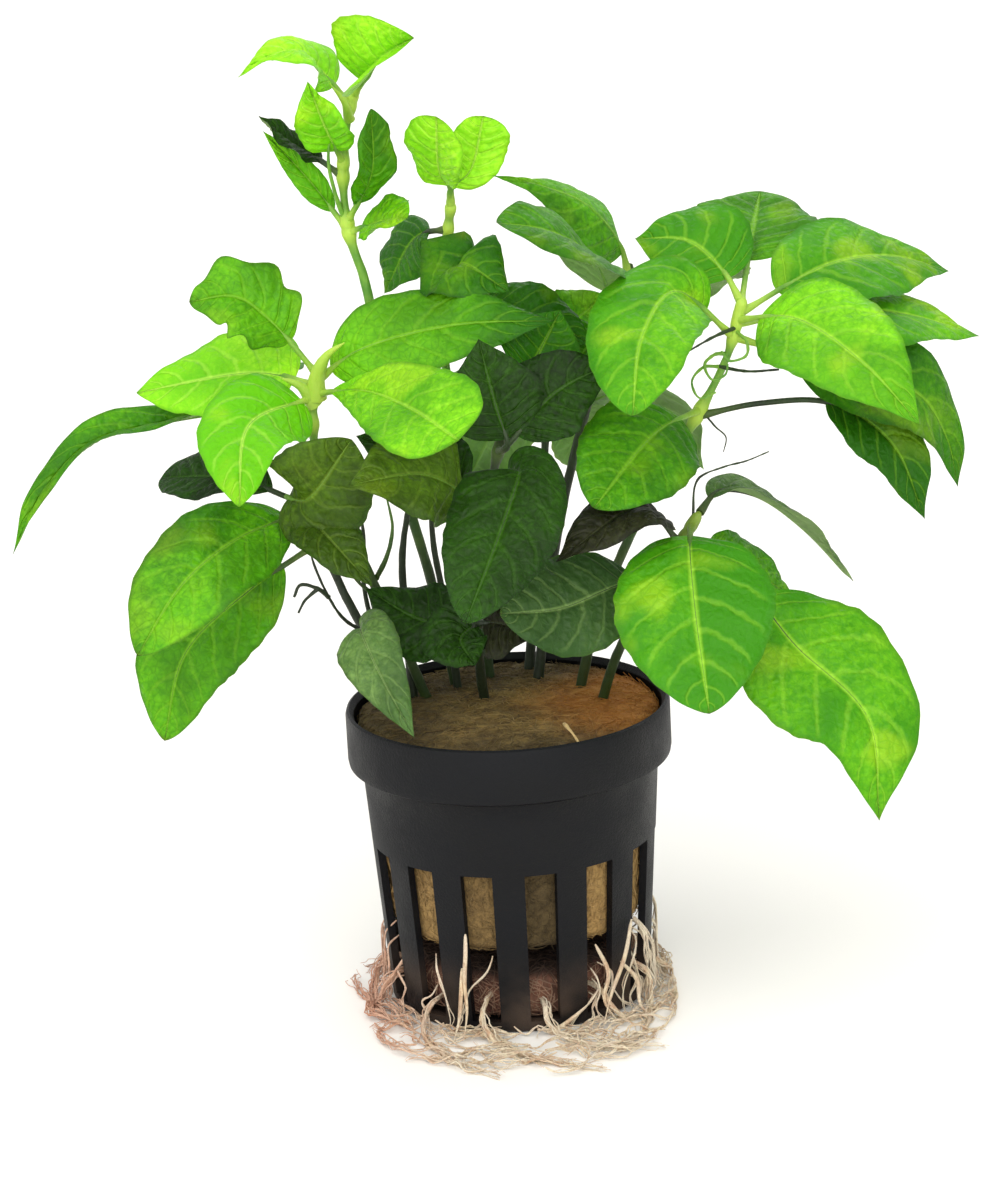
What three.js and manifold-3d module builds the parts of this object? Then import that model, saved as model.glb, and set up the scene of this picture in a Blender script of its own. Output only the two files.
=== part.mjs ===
// Potted calico aquarium plant: leafy stems in a wool plug, in a black slotted net pot,
// with roots round its foot.
// Millimetres, +Z up, +X to the viewer's right, -Y towards the viewer.
// The origin is the centre of the flat underside of the pot.
import * as THREE from "three";
import { mergeVertices } from "three/addons/utils/BufferGeometryUtils.js";
import Module from "manifold-3d";

const wasm = await Module();
wasm.setup();

const vec = (p) => new THREE.Vector3(p[0], p[1], p[2]);
const deg = THREE.MathUtils.degToRad;

// Clearance between pieces that touch in the real plant.
const gap = 0.3;

// Net pot.
const potHeight = 47;
const bandHeight = 9;
const bandRadius = 25;
const shoulderRadius = 22.9;
const footRadius = 20.2;
const wall = 1.2;
const floorThickness = 1.2;
const potSides = 42;
const slotCount = 14;
const slotTurn = 9.5;
const slotWidth = 4.7;
const slotBottom = 1.8;
const slotTop = 26;
const baseSlotCount = 7;
const baseSlotWidth = 2.5;
const baseSlotInner = 8;
const baseSlotOuter = 15.5;

// Wool plug.
const plugBottom = 13;
const plugTop = 46;
const plugDome = 1;
const plugSides = 20;

// Stems.
const stemRadius = 0.8;
const stemSteps = 6;
const stemSides = 5;
const socketSides = 7;

// Leaves.
const leafThickness = 0.7;
const stalkHalfWidth = 0.55;
const stalkHump = 0.4;
const bladeHump = 0.1;
const longStalk = 6;
const slimWidth = 13.5;
const bladeStations = [0.09, 0.26, 0.47, 0.7, 0.89];
const slimStations = [0.12, 0.36, 0.62, 0.86];
const defaultFold = 5;
const defaultCup = -0.12;

// Roots.
const rootMassTop = 9;
const rootMassRadius = 17.6;
const rootRadius = 0.65;
const rootSteps = 6;
const rootSides = 4;

const slotPitch = 360 / slotCount;

// A slot's turn about +Z from +X, with the first one just to the right of the front.
const slotAngle = (index) => deg(-90 + slotTurn + index * slotPitch);

function toSolid(geometry) {
  const bare = geometry.index ? geometry.toNonIndexed() : geometry.clone();
  bare.deleteAttribute("normal");
  bare.deleteAttribute("uv");
  const merged = mergeVertices(bare, 1e-4);
  return new wasm.Manifold(
    new wasm.Mesh({
      numProp: 3,
      vertProperties: new Float32Array(merged.attributes.position.array),
      triVerts: new Uint32Array(merged.index.array),
    }),
  );
}

function toGeometry(solid) {
  const mesh = solid.getMesh();
  const geometry = new THREE.BufferGeometry();
  geometry.setAttribute("position", new THREE.BufferAttribute(mesh.vertProperties, 3));
  geometry.setIndex(new THREE.BufferAttribute(mesh.triVerts, 1));
  geometry.computeVertexNormals();
  return geometry;
}

// A body turned about +Z from [radius, height] points that start and end on the axis, rising outside.
function lathe(points, sides) {
  const profile = points.map(([radius, height]) => new THREE.Vector2(radius, height));
  const geometry = new THREE.LatheGeometry(profile, sides);
  geometry.rotateX(Math.PI / 2);
  return toSolid(geometry);
}

// A bar of even thickness along a curve.
function bar(curve, radius, steps, sides) {
  const corners = [];
  for (let i = 0; i < sides; i += 1) {
    const turn = (i / sides) * 2 * Math.PI;
    corners.push(new THREE.Vector2(radius * Math.cos(turn), radius * Math.sin(turn)));
  }
  const settings = { steps, extrudePath: curve, bevelEnabled: false };
  return toSolid(new THREE.ExtrudeGeometry(new THREE.Shape(corners), settings));
}

// A closed skin from a flat first ring, over rings of equal point count, to a tip.
function skin(rings, tip) {
  const count = rings[0].length;
  const index = [];
  for (let i = 1; i + 1 < count; i += 1) {
    index.push(0, i + 1, i);
  }
  for (let r = 0; r + 1 < rings.length; r += 1) {
    for (let i = 0; i < count; i += 1) {
      const here = r * count + i;
      const next = r * count + ((i + 1) % count);
      index.push(here, next, next + count, here, next + count, here + count);
    }
  }
  const last = (rings.length - 1) * count;
  for (let i = 0; i < count; i += 1) {
    index.push(last + i, last + ((i + 1) % count), rings.length * count);
  }
  const geometry = new THREE.BufferGeometry();
  geometry.setFromPoints([...rings.flat(), tip]);
  geometry.setIndex(index);
  return toSolid(geometry);
}

// Outer radius of the pot's wall at a height.
function wallRadius(z) {
  return footRadius + ((shoulderRadius - footRadius) * z) / (potHeight - bandHeight);
}

// The net pot: a band on top, a tapering wall cut by tall slots, and a floor with a solid middle.
function makePot() {
  const shoulder = potHeight - bandHeight;
  const shell = lathe(
    [
      [0, 0],
      [footRadius - 0.6, 0],
      [footRadius, 0.6],
      [shoulderRadius, shoulder],
      [bandRadius - 0.5, shoulder + 0.2],
      [bandRadius, shoulder + 0.8],
      [bandRadius, potHeight - 0.5],
      [bandRadius - 0.5, potHeight],
      [bandRadius - wall, potHeight],
      [bandRadius - wall, shoulder + wall],
      [shoulderRadius - wall, shoulder + wall],
      [wallRadius(floorThickness) - wall, floorThickness],
      [0, floorThickness],
    ],
    potSides,
  );
  const cutters = [];
  for (let i = 0; i < slotCount; i += 1) {
    const slot = new THREE.BoxGeometry(12, slotWidth, slotTop - slotBottom);
    slot.translate(18, 0, (slotTop + slotBottom) / 2);
    slot.rotateZ(slotAngle(i));
    cutters.push(toSolid(slot));
  }
  const baseSlotLength = baseSlotOuter - baseSlotInner;
  for (let i = 0; i < baseSlotCount; i += 1) {
    const slot = new THREE.BoxGeometry(baseSlotLength, baseSlotWidth, 4 * floorThickness);
    slot.translate(baseSlotInner + baseSlotLength / 2, 0, 0);
    slot.rotateZ(slotAngle(2 * i));
    cutters.push(toSolid(slot));
  }
  return shell.subtract(wasm.Manifold.union(cutters));
}

// Each stem passes through its points, the first of them down inside the plug.
const stems = {
  tall: {
    points: [
      [-7, 11, 40], [-10, 9, 60], [-15, 6.5, 84.5], [-18, 6, 111.5],
      [-20, 6, 119.5], [-20.5, 6, 127.5], [-19.5, 6, 135.5], [-18, 6, 141.5],
    ],
    tone: "bright",
  },
  heart: {
    points: [[-2, 14, 40], [-4, 13, 64.5], [-6, 12.5, 89], [-7, 12.5, 103], [-6, 12.5, 113], [-4.5, 11, 123]],
    tone: "mid",
  },
  arch: {
    points: [[4, 11, 40], [8, 13, 64], [13, 15, 83.5], [19, 17, 100.5], [22.5, 17.5, 110.5]],
    tone: "dark",
  },
  right_main: {
    points: [[10, 7, 40], [15, 4.5, 59.5], [23, 2, 77], [30.5, 1, 89.5], [35.5, 1, 98.5], [38.5, 1, 108]],
    tone: "mid",
  },
  right_low: {
    points: [[13, 2, 40], [17, -3, 54], [23, -8.5, 66.5], [30, -12, 78.5]],
    tone: "mid",
  },
  left_upper: {
    points: [
      [-10.5, 6.5, 40], [-15, 3.5, 54], [-21, 0.5, 70.5], [-26.5, 0, 84.5], [-27, 1, 94.5], [-25.5, 2, 100],
    ],
    tone: "mid",
  },
  left_low: {
    points: [[-14, 3, 40], [-18, 0.5, 52], [-23, -1.5, 63.5], [-27, -2.5, 74.5], [-29, -3, 81.5]],
    tone: "dark",
  },
  middle: {
    points: [[-3, 5, 40], [-4, -2, 56], [-3, -7.5, 74.5], [0, -8.5, 86.5], [3, -7, 97.5]],
    tone: "dark",
  },
  back: {
    points: [[3, 17, 40], [5.5, 19, 60.5], [8, 23, 80.5], [9, 28, 97]],
    tone: "dark",
  },
};

const stemCurve = (stem) => new THREE.CatmullRomCurve3(stem.points.map(vec));

const makeStem = (stem) => bar(stemCurve(stem), stemRadius, stemSteps, stemSides);

// The point of a stem at a height, found by halving.
function stemPoint(stem, height) {
  const curve = stemCurve(stem);
  let low = 0;
  let high = 1;
  for (let i = 0; i < 24; i += 1) {
    const middle = (low + high) / 2;
    if (curve.getPointAt(middle).z < height) low = middle;
    else high = middle;
  }
  return curve.getPointAt(low);
}

// The plug fills the pot from above the roots to its rim, with a socket round each stem.
function makePlug() {
  const shoulder = potHeight - bandHeight + wall + gap;
  const bottomRadius = wallRadius(plugBottom) - wall - gap;
  const topRadius = bandRadius - wall - 2 * gap;
  const body = lathe(
    [
      [0, plugBottom],
      [bottomRadius - 1, plugBottom],
      [bottomRadius, plugBottom + 1],
      [shoulderRadius - wall - gap, shoulder],
      [topRadius, shoulder],
      [topRadius, plugTop - 0.8],
      [topRadius - 1.3, plugTop],
      [0, plugTop + plugDome],
    ],
    plugSides,
  );
  const sockets = Object.values(stems).map((stem) => {
    return bar(stemCurve(stem), stemRadius + 1.5 * gap, stemSteps, socketSides);
  });
  return body.subtract(wasm.Manifold.union(sockets));
}

// Each leaf grows from a stem at a height and its midrib passes through the spine's points to the tip.
// Blades of the same name share a stalk up to the fork.
// face: the way the upper side looks; fold: degrees each half rises; cup: rise of the edge, in half widths.
// outline: how the blade widens from its foot and narrows to its tip, pointed unless given.
const leaves = [
  { name: "leaf_tall_top_right", stem: "tall", height: 140.5, tone: "lime", width: 17, stalk: 2,
    spine: [[-13.5, -1, 147], [-8.5, -6, 150.5]], face: [-0.78, -0.58, 0.25], fold: 50, cup: 0,
    outline: "round" },
  { name: "leaf_tall_top_left", stem: "tall", height: 139, tone: "lime", width: 12, stalk: 2,
    spine: [[-23, 5.5, 145], [-26, 4, 148], [-30.5, 2.5, 147.5], [-35, 0, 145]], face: [0, -0.35, 1],
    fold: 15, cup: -0.2, outline: "tailed" },
  { name: "leaf_tall_inner_left", stem: "tall", height: 130.5, tone: "lime", width: 9, stalk: 1,
    spine: [[-22.5, 1, 137], [-24.5, -3, 144.5]], face: [-0.3, -0.9, 0.2], fold: 15, cup: 0 },
  { name: "leaf_tall_side_left", stem: "tall", height: 128.5, tone: "dark", width: 6.5, stalk: 2,
    spine: [[-25, 6.5, 132], [-28.5, 6, 134.5], [-32.5, 5, 138.5]], face: [0.2, -0.4, 0.9], fold: 10,
    cup: 0 },
  { name: "leaf_tall_low_left", stem: "tall", height: 120, tone: "bright", width: 4.5, stalk: 2,
    spine: [[-25.5, 6.5, 128], [-32, 6, 136]], face: [-0.4, -0.6, 0.6], fold: 10, cup: 0 },
  { name: "leaf_tall_side_right", stem: "tall", height: 121.5, tone: "mid", width: 8, stalk: 2.5,
    spine: [[-16, 0, 130], [-15.5, -3, 140]], face: [0.6, -0.75, 0.2], fold: 10, cup: 0, outline: "round" },
  { name: "leaf_tall_low_right", stem: "tall", height: 120, tone: "bright", width: 9, stalk: 1,
    spine: [[-15, 0.5, 122.5], [-11, -6, 124]], face: [0, -0.7, 0.7], fold: 10, cup: 0, outline: "round" },

  { name: "leaf_pair_heart", stem: "heart", height: 122, tone: "lime", width: 10.5, stalk: 2,
    fork: [-4.5, 9.5, 125], spine: [[-6, 5, 128.5], [-6, -1, 138]], face: [-0.4, -0.9, 0.2], fold: 10,
    cup: 0, outline: "blunt" },
  { name: "leaf_pair_heart", stem: "heart", height: 122, tone: "lime", width: 10, stalk: 2,
    fork: [-4.5, 9.5, 125], spine: [[-1.5, 10, 127.5], [1, 9, 136]], face: [0.3, -0.9, 0.2], fold: 10,
    cup: 0, outline: "blunt" },
  { name: "leaf_heart_drooping", stem: "heart", height: 118.5, tone: "dark", width: 16, stalk: 1,
    spine: [[-10, 12.5, 117.5], [-15.5, 12, 109]], face: [-0.3, -0.3, 0.9], fold: 10, cup: -0.2 },
  { name: "leaf_pair_heart_low", stem: "heart", height: 108.5, tone: "dark", width: 15, stalk: 4,
    fork: [-4.5, 9.5, 109], spine: [[-3.5, 3, 115], [3.5, -1, 111]], face: [0.1, -0.7, 0.7] },
  { name: "leaf_pair_heart_low", stem: "heart", height: 108.5, tone: "dark", width: 12, stalk: 6,
    fork: [-4.5, 9.5, 109], spine: [[2, 9.5, 106.5], [11, 7, 103.5], [15.5, 5, 101]],
    face: [0.1, -0.75, 0.65] },

  { name: "leaf_arch_upper", stem: "arch", height: 109, tone: "mid", width: 17, stalk: 2,
    spine: [[20.5, 15, 115], [16, 13, 121], [9.5, 11, 124.5], [1.5, 9, 127]], face: [0.25, -0.45, 0.85],
    fold: -22, cup: 0, outline: "tailed" },
  { name: "leaf_arch_lower", stem: "arch", height: 103, tone: "mid", width: 17.5, stalk: 5,
    spine: [[16, 1.5, 115.5], [9.5, -5.5, 121], [2, -10, 123.5]], face: [0, -0.5, 0.85], fold: 10,
    outline: "round" },
  { name: "leaf_pair_arch_inner", stem: "arch", height: 102, tone: "dark", width: 10, stalk: 4,
    fork: [19, 13, 101.5], spine: [[21, 8.5, 101.5], [20, 4, 92.5]], face: [0.1, -0.8, 0.5] },
  { name: "leaf_pair_arch_inner", stem: "arch", height: 102, tone: "mid", width: 12, stalk: 4,
    fork: [19, 13, 101.5], spine: [[14.5, 7.5, 99.5], [10, 2, 92]], face: [-0.1, -0.8, 0.5] },

  { name: "leaf_pair_right_top", stem: "right_main", height: 107, tone: "bright", width: 19, stalk: 3,
    fork: [36, 5, 111], spine: [[31, 8, 115.5], [23, 12, 115.5]], face: [0, -0.6, 0.8] },
  { name: "leaf_pair_right_top", stem: "right_main", height: 107, tone: "mid", width: 13, stalk: 6,
    fork: [36, 5, 111], spine: [[34, 17, 108.5], [33.5, 31, 101]], face: [0, 0.5, 0.8] },
  { name: "leaf_right_top_back", stem: "right_main", height: 106.5, tone: "mid", width: 20, stalk: 9,
    spine: [[41, 16, 114], [43.5, 29, 118.5]], face: [0, -0.5, 0.85], fold: 10, outline: "round" },
  { name: "leaf_right_far_upper", stem: "right_main", height: 105.5, tone: "bright", width: 18.5, stalk: 5,
    spine: [[52, 7.5, 111], [62.5, 15.5, 110], [72, 23, 105.5]], face: [0.1, -0.55, 0.8] },
  { name: "leaf_right_far_middle", stem: "right_main", height: 104, tone: "bright", width: 18, stalk: 5,
    spine: [[53, 3, 105], [65, 8.5, 102], [75.5, 14, 97]], face: [0, -0.4, 0.9] },
  { name: "leaf_right_big", stem: "right_main", height: 104.5, tone: "bright", width: 19, stalk: 3,
    spine: [[45.5, -8.5, 106.5], [54.5, -19, 101.5], [61.5, -27, 94]], face: [0.1, -0.75, 0.65] },
  { name: "leaf_right_curled", stem: "right_main", height: 102, tone: "mid", width: 16.5, stalk: 8,
    spine: [[54, -3, 96.5], [64, -2, 92.5], [68.5, 0, 84.5], [70, 0, 77]], face: [0.5, -0.65, 0.55],
    fold: 10 },
  { name: "leaf_right_long_stalk", stem: "right_main", height: 90, tone: "mid", width: 12, stalk: 18,
    spine: [[40.5, -1, 92], [51, -3.5, 92], [59.5, -6, 86], [64, -8, 74.5]], face: [0.2, -0.7, 0.7],
    fold: 10 },
  { name: "leaf_right_front", stem: "right_main", height: 102, tone: "bright", width: 17.5, stalk: 5,
    spine: [[28, -6, 111], [22.5, -16, 107], [20, -29, 98]], face: [-0.2, -0.8, 0.6], outline: "round" },
  { name: "leaf_right_front_low", stem: "right_main", height: 91, tone: "mid", width: 18, stalk: 4,
    spine: [[24, -10, 90.5], [14, -23, 83]], face: [-0.1, -0.85, 0.5], outline: "round" },

  { name: "leaf_right_edge_on", stem: "right_low", height: 78, tone: "grey", width: 9, stalk: 2,
    spine: [[33.5, -7, 80.5], [39.5, -3, 78], [46.5, 1, 71.5], [54.5, 6, 61]], face: [0.3, 0, 0.95],
    fold: 15, cup: 0 },
  { name: "leaf_right_round", stem: "right_low", height: 76.5, tone: "bright", width: 23.5, stalk: 3,
    spine: [[28, -19.5, 75.5], [28, -28.5, 68], [29, -38, 55.5]], face: [-0.05, -0.85, 0.5],
    outline: "round" },
  { name: "leaf_right_far_low", stem: "right_low", height: 74.5, tone: "bright", width: 23, stalk: 12,
    spine: [[36.5, -15, 67.5], [43, -19.5, 59.5], [53, -25.5, 49.5], [54, -29, 34.5]],
    face: [0.25, -0.8, 0.5] },
  { name: "leaf_right_low_back", stem: "right_low", height: 74.5, tone: "mid", width: 10, stalk: 4,
    spine: [[36, -3, 68], [46, 7, 58]], face: [0.2, -0.7, 0.6] },
  { name: "leaf_right_under", stem: "right_low", height: 73.5, tone: "brown", width: 12, stalk: 3,
    spine: [[21, -18, 81.5], [8, -26, 76]], face: [0, -0.4, 0.9], fold: 10 },

  { name: "leaf_left_up", stem: "left_upper", height: 99, tone: "mid", width: 13.5, stalk: 5,
    spine: [[-32.5, 1.5, 108], [-37.5, 1.5, 112], [-44.5, 2, 111.5]], face: [0.2, -0.7, 0.6], fold: 10,
    cup: 0, outline: "round" },
  { name: "leaf_pair_left_level", stem: "left_upper", height: 97.5, tone: "lime", width: 18, stalk: 4,
    fork: [-30.5, 2.5, 99], spine: [[-36.5, 4.5, 99.5], [-54, 8, 96.5]], face: [0, -0.6, 0.8],
    outline: "round" },
  { name: "leaf_pair_left_level", stem: "left_upper", height: 97.5, tone: "mid", width: 14, stalk: 6,
    fork: [-30.5, 2.5, 99], spine: [[-35, 12, 98], [-39, 26, 90]], face: [-0.2, 0.5, 0.8] },
  { name: "leaf_left_hanging", stem: "left_upper", height: 96, tone: "lime", width: 15.5, stalk: 2,
    spine: [[-36, -9.5, 95], [-37.5, -25, 86.5]], face: [-0.1, -0.8, 0.6] },
  { name: "leaf_left_hook", stem: "left_upper", height: 92, tone: "mid", width: 7.5, stalk: 14,
    spine: [[-39.5, 10, 92.5], [-51.5, 10, 91], [-61.5, 6, 89.5], [-69, 2, 83], [-74, 0, 74]],
    face: [-0.1, -0.35, 0.95], fold: 25, cup: 0 },
  { name: "leaf_left_fold", stem: "left_upper", height: 96.5, tone: "bright", width: 16.5, stalk: 2,
    spine: [[-19, -8.5, 99], [-11.5, -20, 98.5], [-5, -30, 96]], face: [0, -0.8, 0.6], fold: 10, cup: 0,
    outline: "blunt" },
  { name: "leaf_left_crossing", stem: "left_upper", height: 98.5, tone: "bright", width: 15, stalk: 1,
    spine: [[-19.5, -1.5, 103.5], [-5.5, -3.5, 107], [10, -6, 107.5]], face: [0, -0.75, 0.65] },

  { name: "leaf_left_low_upper", stem: "left_low", height: 79.5, tone: "mid", width: 17, stalk: 2,
    spine: [[-39, -11.5, 78], [-47, -18.5, 73.5], [-54, -24, 64.5]], face: [-0.1, -0.75, 0.65],
    outline: "round" },
  { name: "leaf_left_low_lower", stem: "left_low", height: 74.5, tone: "mid", width: 17, stalk: 5,
    spine: [[-38.5, -2, 67], [-48.5, -4.5, 58.5], [-52.5, -7, 45.5]], face: [-0.2, -0.8, 0.5],
    outline: "round" },
  { name: "leaf_left_low_inner", stem: "left_low", height: 76.5, tone: "dark", width: 10, stalk: 3,
    spine: [[-26.5, -12, 79], [-19, -20, 72]], face: [0.1, -0.6, 0.7], fold: 10 },
  { name: "leaf_pair_left_low", stem: "left_low", height: 80.5, tone: "olive", width: 17, stalk: 4,
    fork: [-31.5, -5.5, 82.5], spine: [[-28, -11, 83.5], [-21, -12, 92.5]], face: [0.2, -0.9, 0.2],
    fold: 10, cup: 0 },
  { name: "leaf_pair_left_low", stem: "left_low", height: 80.5, tone: "dark", width: 11, stalk: 5,
    fork: [-31.5, -5.5, 82.5], spine: [[-39, 1, 84], [-51.5, 12, 82]], face: [0, -0.6, 0.7], fold: 10,
    cup: 0, outline: "blunt" },
  { name: "leaf_rim_drape", stem: "left_low", height: 57, tone: "grey", width: 10, stalk: 6,
    spine: [[-21.5, -11.5, 63], [-19, -19.5, 59], [-14, -25.5, 50]], face: [-0.2, -0.85, 0.45] },

  { name: "leaf_middle_front", stem: "middle", height: 77.5, tone: "dark", width: 17, stalk: 9,
    spine: [[3.5, -18, 88], [0, -28, 81], [-5.5, -38, 71]], face: [0, -0.75, 0.65], outline: "round" },
  { name: "leaf_pair_middle_upper", stem: "middle", height: 88.5, tone: "dark", width: 14, stalk: 5,
    fork: [2, -12.5, 90.5], spine: [[9.5, -10, 97.5], [18.5, -9, 101.5]], face: [0, -0.8, 0.6], cup: 0 },
  { name: "leaf_pair_middle_upper", stem: "middle", height: 88.5, tone: "dark", width: 15, stalk: 4,
    fork: [2, -12.5, 90.5], spine: [[0.5, -11.5, 96.5], [-1.5, -9, 106]], face: [0, -0.8, 0.6], cup: 0 },
  { name: "leaf_pair_middle_left", stem: "middle", height: 82.5, tone: "olive", width: 17, stalk: 5,
    fork: [-4, -13.5, 83.5], spine: [[-10.5, -17.5, 88], [-21.5, -23, 88.5]], face: [0, -0.7, 0.7] },
  { name: "leaf_pair_middle_left", stem: "middle", height: 82.5, tone: "dark", width: 13, stalk: 5,
    fork: [-4, -13.5, 83.5], spine: [[-11, -10, 88.5], [-20.5, -8, 92]], face: [0, -0.8, 0.6] },
  { name: "leaf_middle_right", stem: "middle", height: 96.5, tone: "dark", width: 15, stalk: 2,
    spine: [[7, -3, 101.5], [11, -1, 108]], face: [0.2, -0.9, 0.2], cup: 0 },

  { name: "leaf_middle_skirt", stem: "right_low", height: 69.5, tone: "grey", width: 16, stalk: 4,
    spine: [[16.5, -15, 68.5], [8.5, -19.5, 67], [-0.5, -24, 68]], face: [0, -0.85, 0.5],
    outline: "round" },

  { name: "leaf_pair_low_dark", stem: "middle", height: 62, tone: "dark", width: 13, stalk: 9,
    fork: [-4, -13.5, 63.5], spine: [[-12, -10.5, 63.5], [-20.5, -5.5, 67.5]], face: [0, -0.8, 0.6] },
  { name: "leaf_pair_low_dark", stem: "middle", height: 62, tone: "brown", width: 12, stalk: 9,
    fork: [-4, -13.5, 63.5], spine: [[-1.5, -15, 64], [5, -19, 63]], face: [0, -0.8, 0.6] },
  { name: "leaf_pair_low_dark", stem: "middle", height: 62, tone: "dark", width: 12, stalk: 8,
    fork: [-4, -13.5, 63.5], spine: [[-6.5, -16, 62], [-4.5, -20, 59]], face: [0, -0.8, 0.6] },

  { name: "leaf_pair_back_high", stem: "back", height: 96, tone: "mid", width: 16, stalk: 3,
    fork: [9, 29.5, 99], spine: [[5, 35, 99], [-3.5, 44, 91.5]], face: [0, 0.5, 0.85] },
  { name: "leaf_pair_back_high", stem: "back", height: 96, tone: "mid", width: 11, stalk: 3,
    fork: [9, 29.5, 99], spine: [[12, 28, 99], [19, 31, 103]], face: [0.2, -0.8, 0.4] },
  { name: "leaf_pair_back_left", stem: "back", height: 87, tone: "mid", width: 15, stalk: 5,
    fork: [6, 30, 88], spine: [[0, 33, 91], [-14, 38, 85]], face: [-0.2, 0.4, 0.85] },
  { name: "leaf_pair_back_left", stem: "back", height: 87, tone: "mid", width: 16, stalk: 5,
    fork: [6, 30, 88], spine: [[1, 32.5, 83], [-6, 35, 70]], face: [-0.2, 0.9, 0.4] },
  { name: "leaf_pair_back_right", stem: "back", height: 84, tone: "mid", width: 17, stalk: 5,
    fork: [12, 28, 85.5], spine: [[23.5, 31, 87], [33.5, 35, 72.5]], face: [0.2, 0.4, 0.85] },
  { name: "leaf_pair_back_right", stem: "back", height: 84, tone: "mid", width: 15, stalk: 5,
    fork: [12, 28, 85.5], spine: [[16, 31, 80], [20, 35, 68]], face: [0.2, 0.9, 0.4] },
  { name: "leaf_back_low", stem: "back", height: 68, tone: "mid", width: 13, stalk: 3,
    spine: [[0.5, 27, 73], [-9, 34, 73]], face: [-0.2, 0.6, 0.75] },
];

// How fast a blade widens from its foot and narrows to its tip.
const outlines = {
  pointed: [0.65, 1.15],
  round: [0.6, 0.75],
  blunt: [0.8, 0.6],
  tailed: [0.55, 1.7],
};

// Half width of a blade at a share of its length, as a share of the greatest.
function bladeShape(share, outline) {
  const [rise, fall] = outlines[outline];
  const peak = rise / (rise + fall);
  const greatest = peak ** rise * (1 - peak) ** fall;
  return (share ** rise * (1 - share) ** fall) / greatest;
}

// A leaf's stalk and blade as one thin solid, six points round, folded along the midrib.
function makeLeaf(leaf) {
  const foot = stemPoint(stems[leaf.stem], leaf.height);
  const joint = leaf.fork ? [vec(leaf.fork)] : [];
  const curve = new THREE.CatmullRomCurve3([foot, ...joint, ...leaf.spine.map(vec)]);
  const length = curve.getLength();
  const start = (stemRadius + 3.2 * gap) / length;
  const bladeStart = start + leaf.stalk / length;
  const fold = deg(leaf.fold ?? defaultFold);
  const cup = leaf.cup ?? defaultCup;

  const ringAt = (at, reach, flatness, hump) => {
    const centre = curve.getPointAt(at);
    const along = curve.getTangentAt(at);
    const side = along.clone().cross(vec(leaf.face)).normalize();
    const up = side.clone().cross(along).normalize();
    const point = (across, rise) => {
      const out = Math.abs(across) * reach;
      const level = THREE.MathUtils.lerp(1, Math.cos(fold), flatness);
      const lift = flatness * (out * Math.sin(fold) + cup * reach * across ** 2);
      return centre
        .clone()
        .addScaledVector(side, Math.sign(across) * out * level)
        .addScaledVector(up, lift + rise);
    };
    return [
      point(-1, 0),
      point(-0.5, hump),
      point(0, flatness ? 0 : hump),
      point(0.5, hump),
      point(1, 0),
      point(0, -leafThickness),
    ];
  };

  const middle = (start + bladeStart) / 2;
  const stalkStations = leaf.stalk > longStalk ? [start, middle, bladeStart] : [start, bladeStart];
  const stalkRings = stalkStations.map((at) => ringAt(at, stalkHalfWidth, 0, stalkHump));
  const stations = leaf.width < slimWidth ? slimStations : bladeStations;
  const bladeRings = stations.map((share) => {
    const reach = Math.max((leaf.width / 2) * bladeShape(share, leaf.outline ?? "pointed"), stalkHalfWidth);
    return ringAt(THREE.MathUtils.lerp(bladeStart, 1, share), reach, 1, bladeHump);
  });
  return skin([...stalkRings, ...bladeRings], curve.getPointAt(1));
}

// Each root leaves the mass through a slot, falls to the ground and wanders round the foot.
// out: distance from the axis where it lands; turn: degrees it wanders; reach: distance of its tip.
const rootRuns = [
  { slot: 0, out: 26, turn: 26, reach: 36 },
  { slot: 1, out: 24, turn: 30, reach: 25 },
  { slot: 2, out: 24, turn: -34, reach: 33 },
  { slot: 3, out: 22.8, turn: 34, reach: 24 },
  { slot: 5, out: 23, turn: 38, reach: 25 },
  { slot: 6, out: 23, turn: -34, reach: 25 },
  { slot: 8, out: 23.5, turn: 36, reach: 26 },
  { slot: 10, out: 23, turn: 34, reach: 25 },
  { slot: 11, out: 23.5, turn: -34, reach: 27 },
  { slot: 12, out: 26.5, turn: 36, reach: 38 },
  { slot: 13, out: 26, turn: 34, reach: 38.5 },
];

function makeRoot(run, index) {
  const polar = (radius, turn, z) => {
    const angle = slotAngle(run.slot) + deg(turn);
    return new THREE.Vector3(radius * Math.cos(angle), radius * Math.sin(angle), z);
  };
  const exit = 4 + (index % 3) * 1.2;
  const ground = rootRadius + 0.15;
  const curve = new THREE.CatmullRomCurve3([
    polar(rootMassRadius - 3, 0, exit),
    polar(footRadius, 0, exit),
    polar(footRadius + 2.2, 0, exit - 1.6),
    polar(run.out, run.turn * 0.2, ground),
    polar((run.out + run.reach) / 2, run.turn * 0.6, ground),
    polar(run.reach, run.turn, ground),
  ]);
  return bar(curve, rootRadius, rootSteps, rootSides);
}

function makeRoots() {
  const bottom = floorThickness + gap;
  const mass = lathe(
    [
      [0, bottom],
      [rootMassRadius - 1, bottom],
      [rootMassRadius, bottom + 1],
      [rootMassRadius, rootMassTop - 1.5],
      [rootMassRadius - 1, rootMassTop],
      [0, rootMassTop],
    ],
    slotCount,
  );
  return wasm.Manifold.union([mass, ...rootRuns.map(makeRoot)]);
}

const tones = {
  lime: 0x8fd11e,
  bright: 0x58b81c,
  mid: 0x3c8f1e,
  dark: 0x2c5c22,
  olive: 0x4d6a22,
  grey: 0x5f7f4a,
  brown: 0x3d3a20,
};

const plant = new THREE.Group();
plant.name = "potted_calico_plant";

function add(name, solid, colour, roughness) {
  const material = new THREE.MeshStandardMaterial({ color: colour, roughness, metalness: 0 });
  const mesh = new THREE.Mesh(toGeometry(solid), material);
  mesh.name = name;
  plant.add(mesh);
}

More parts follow.
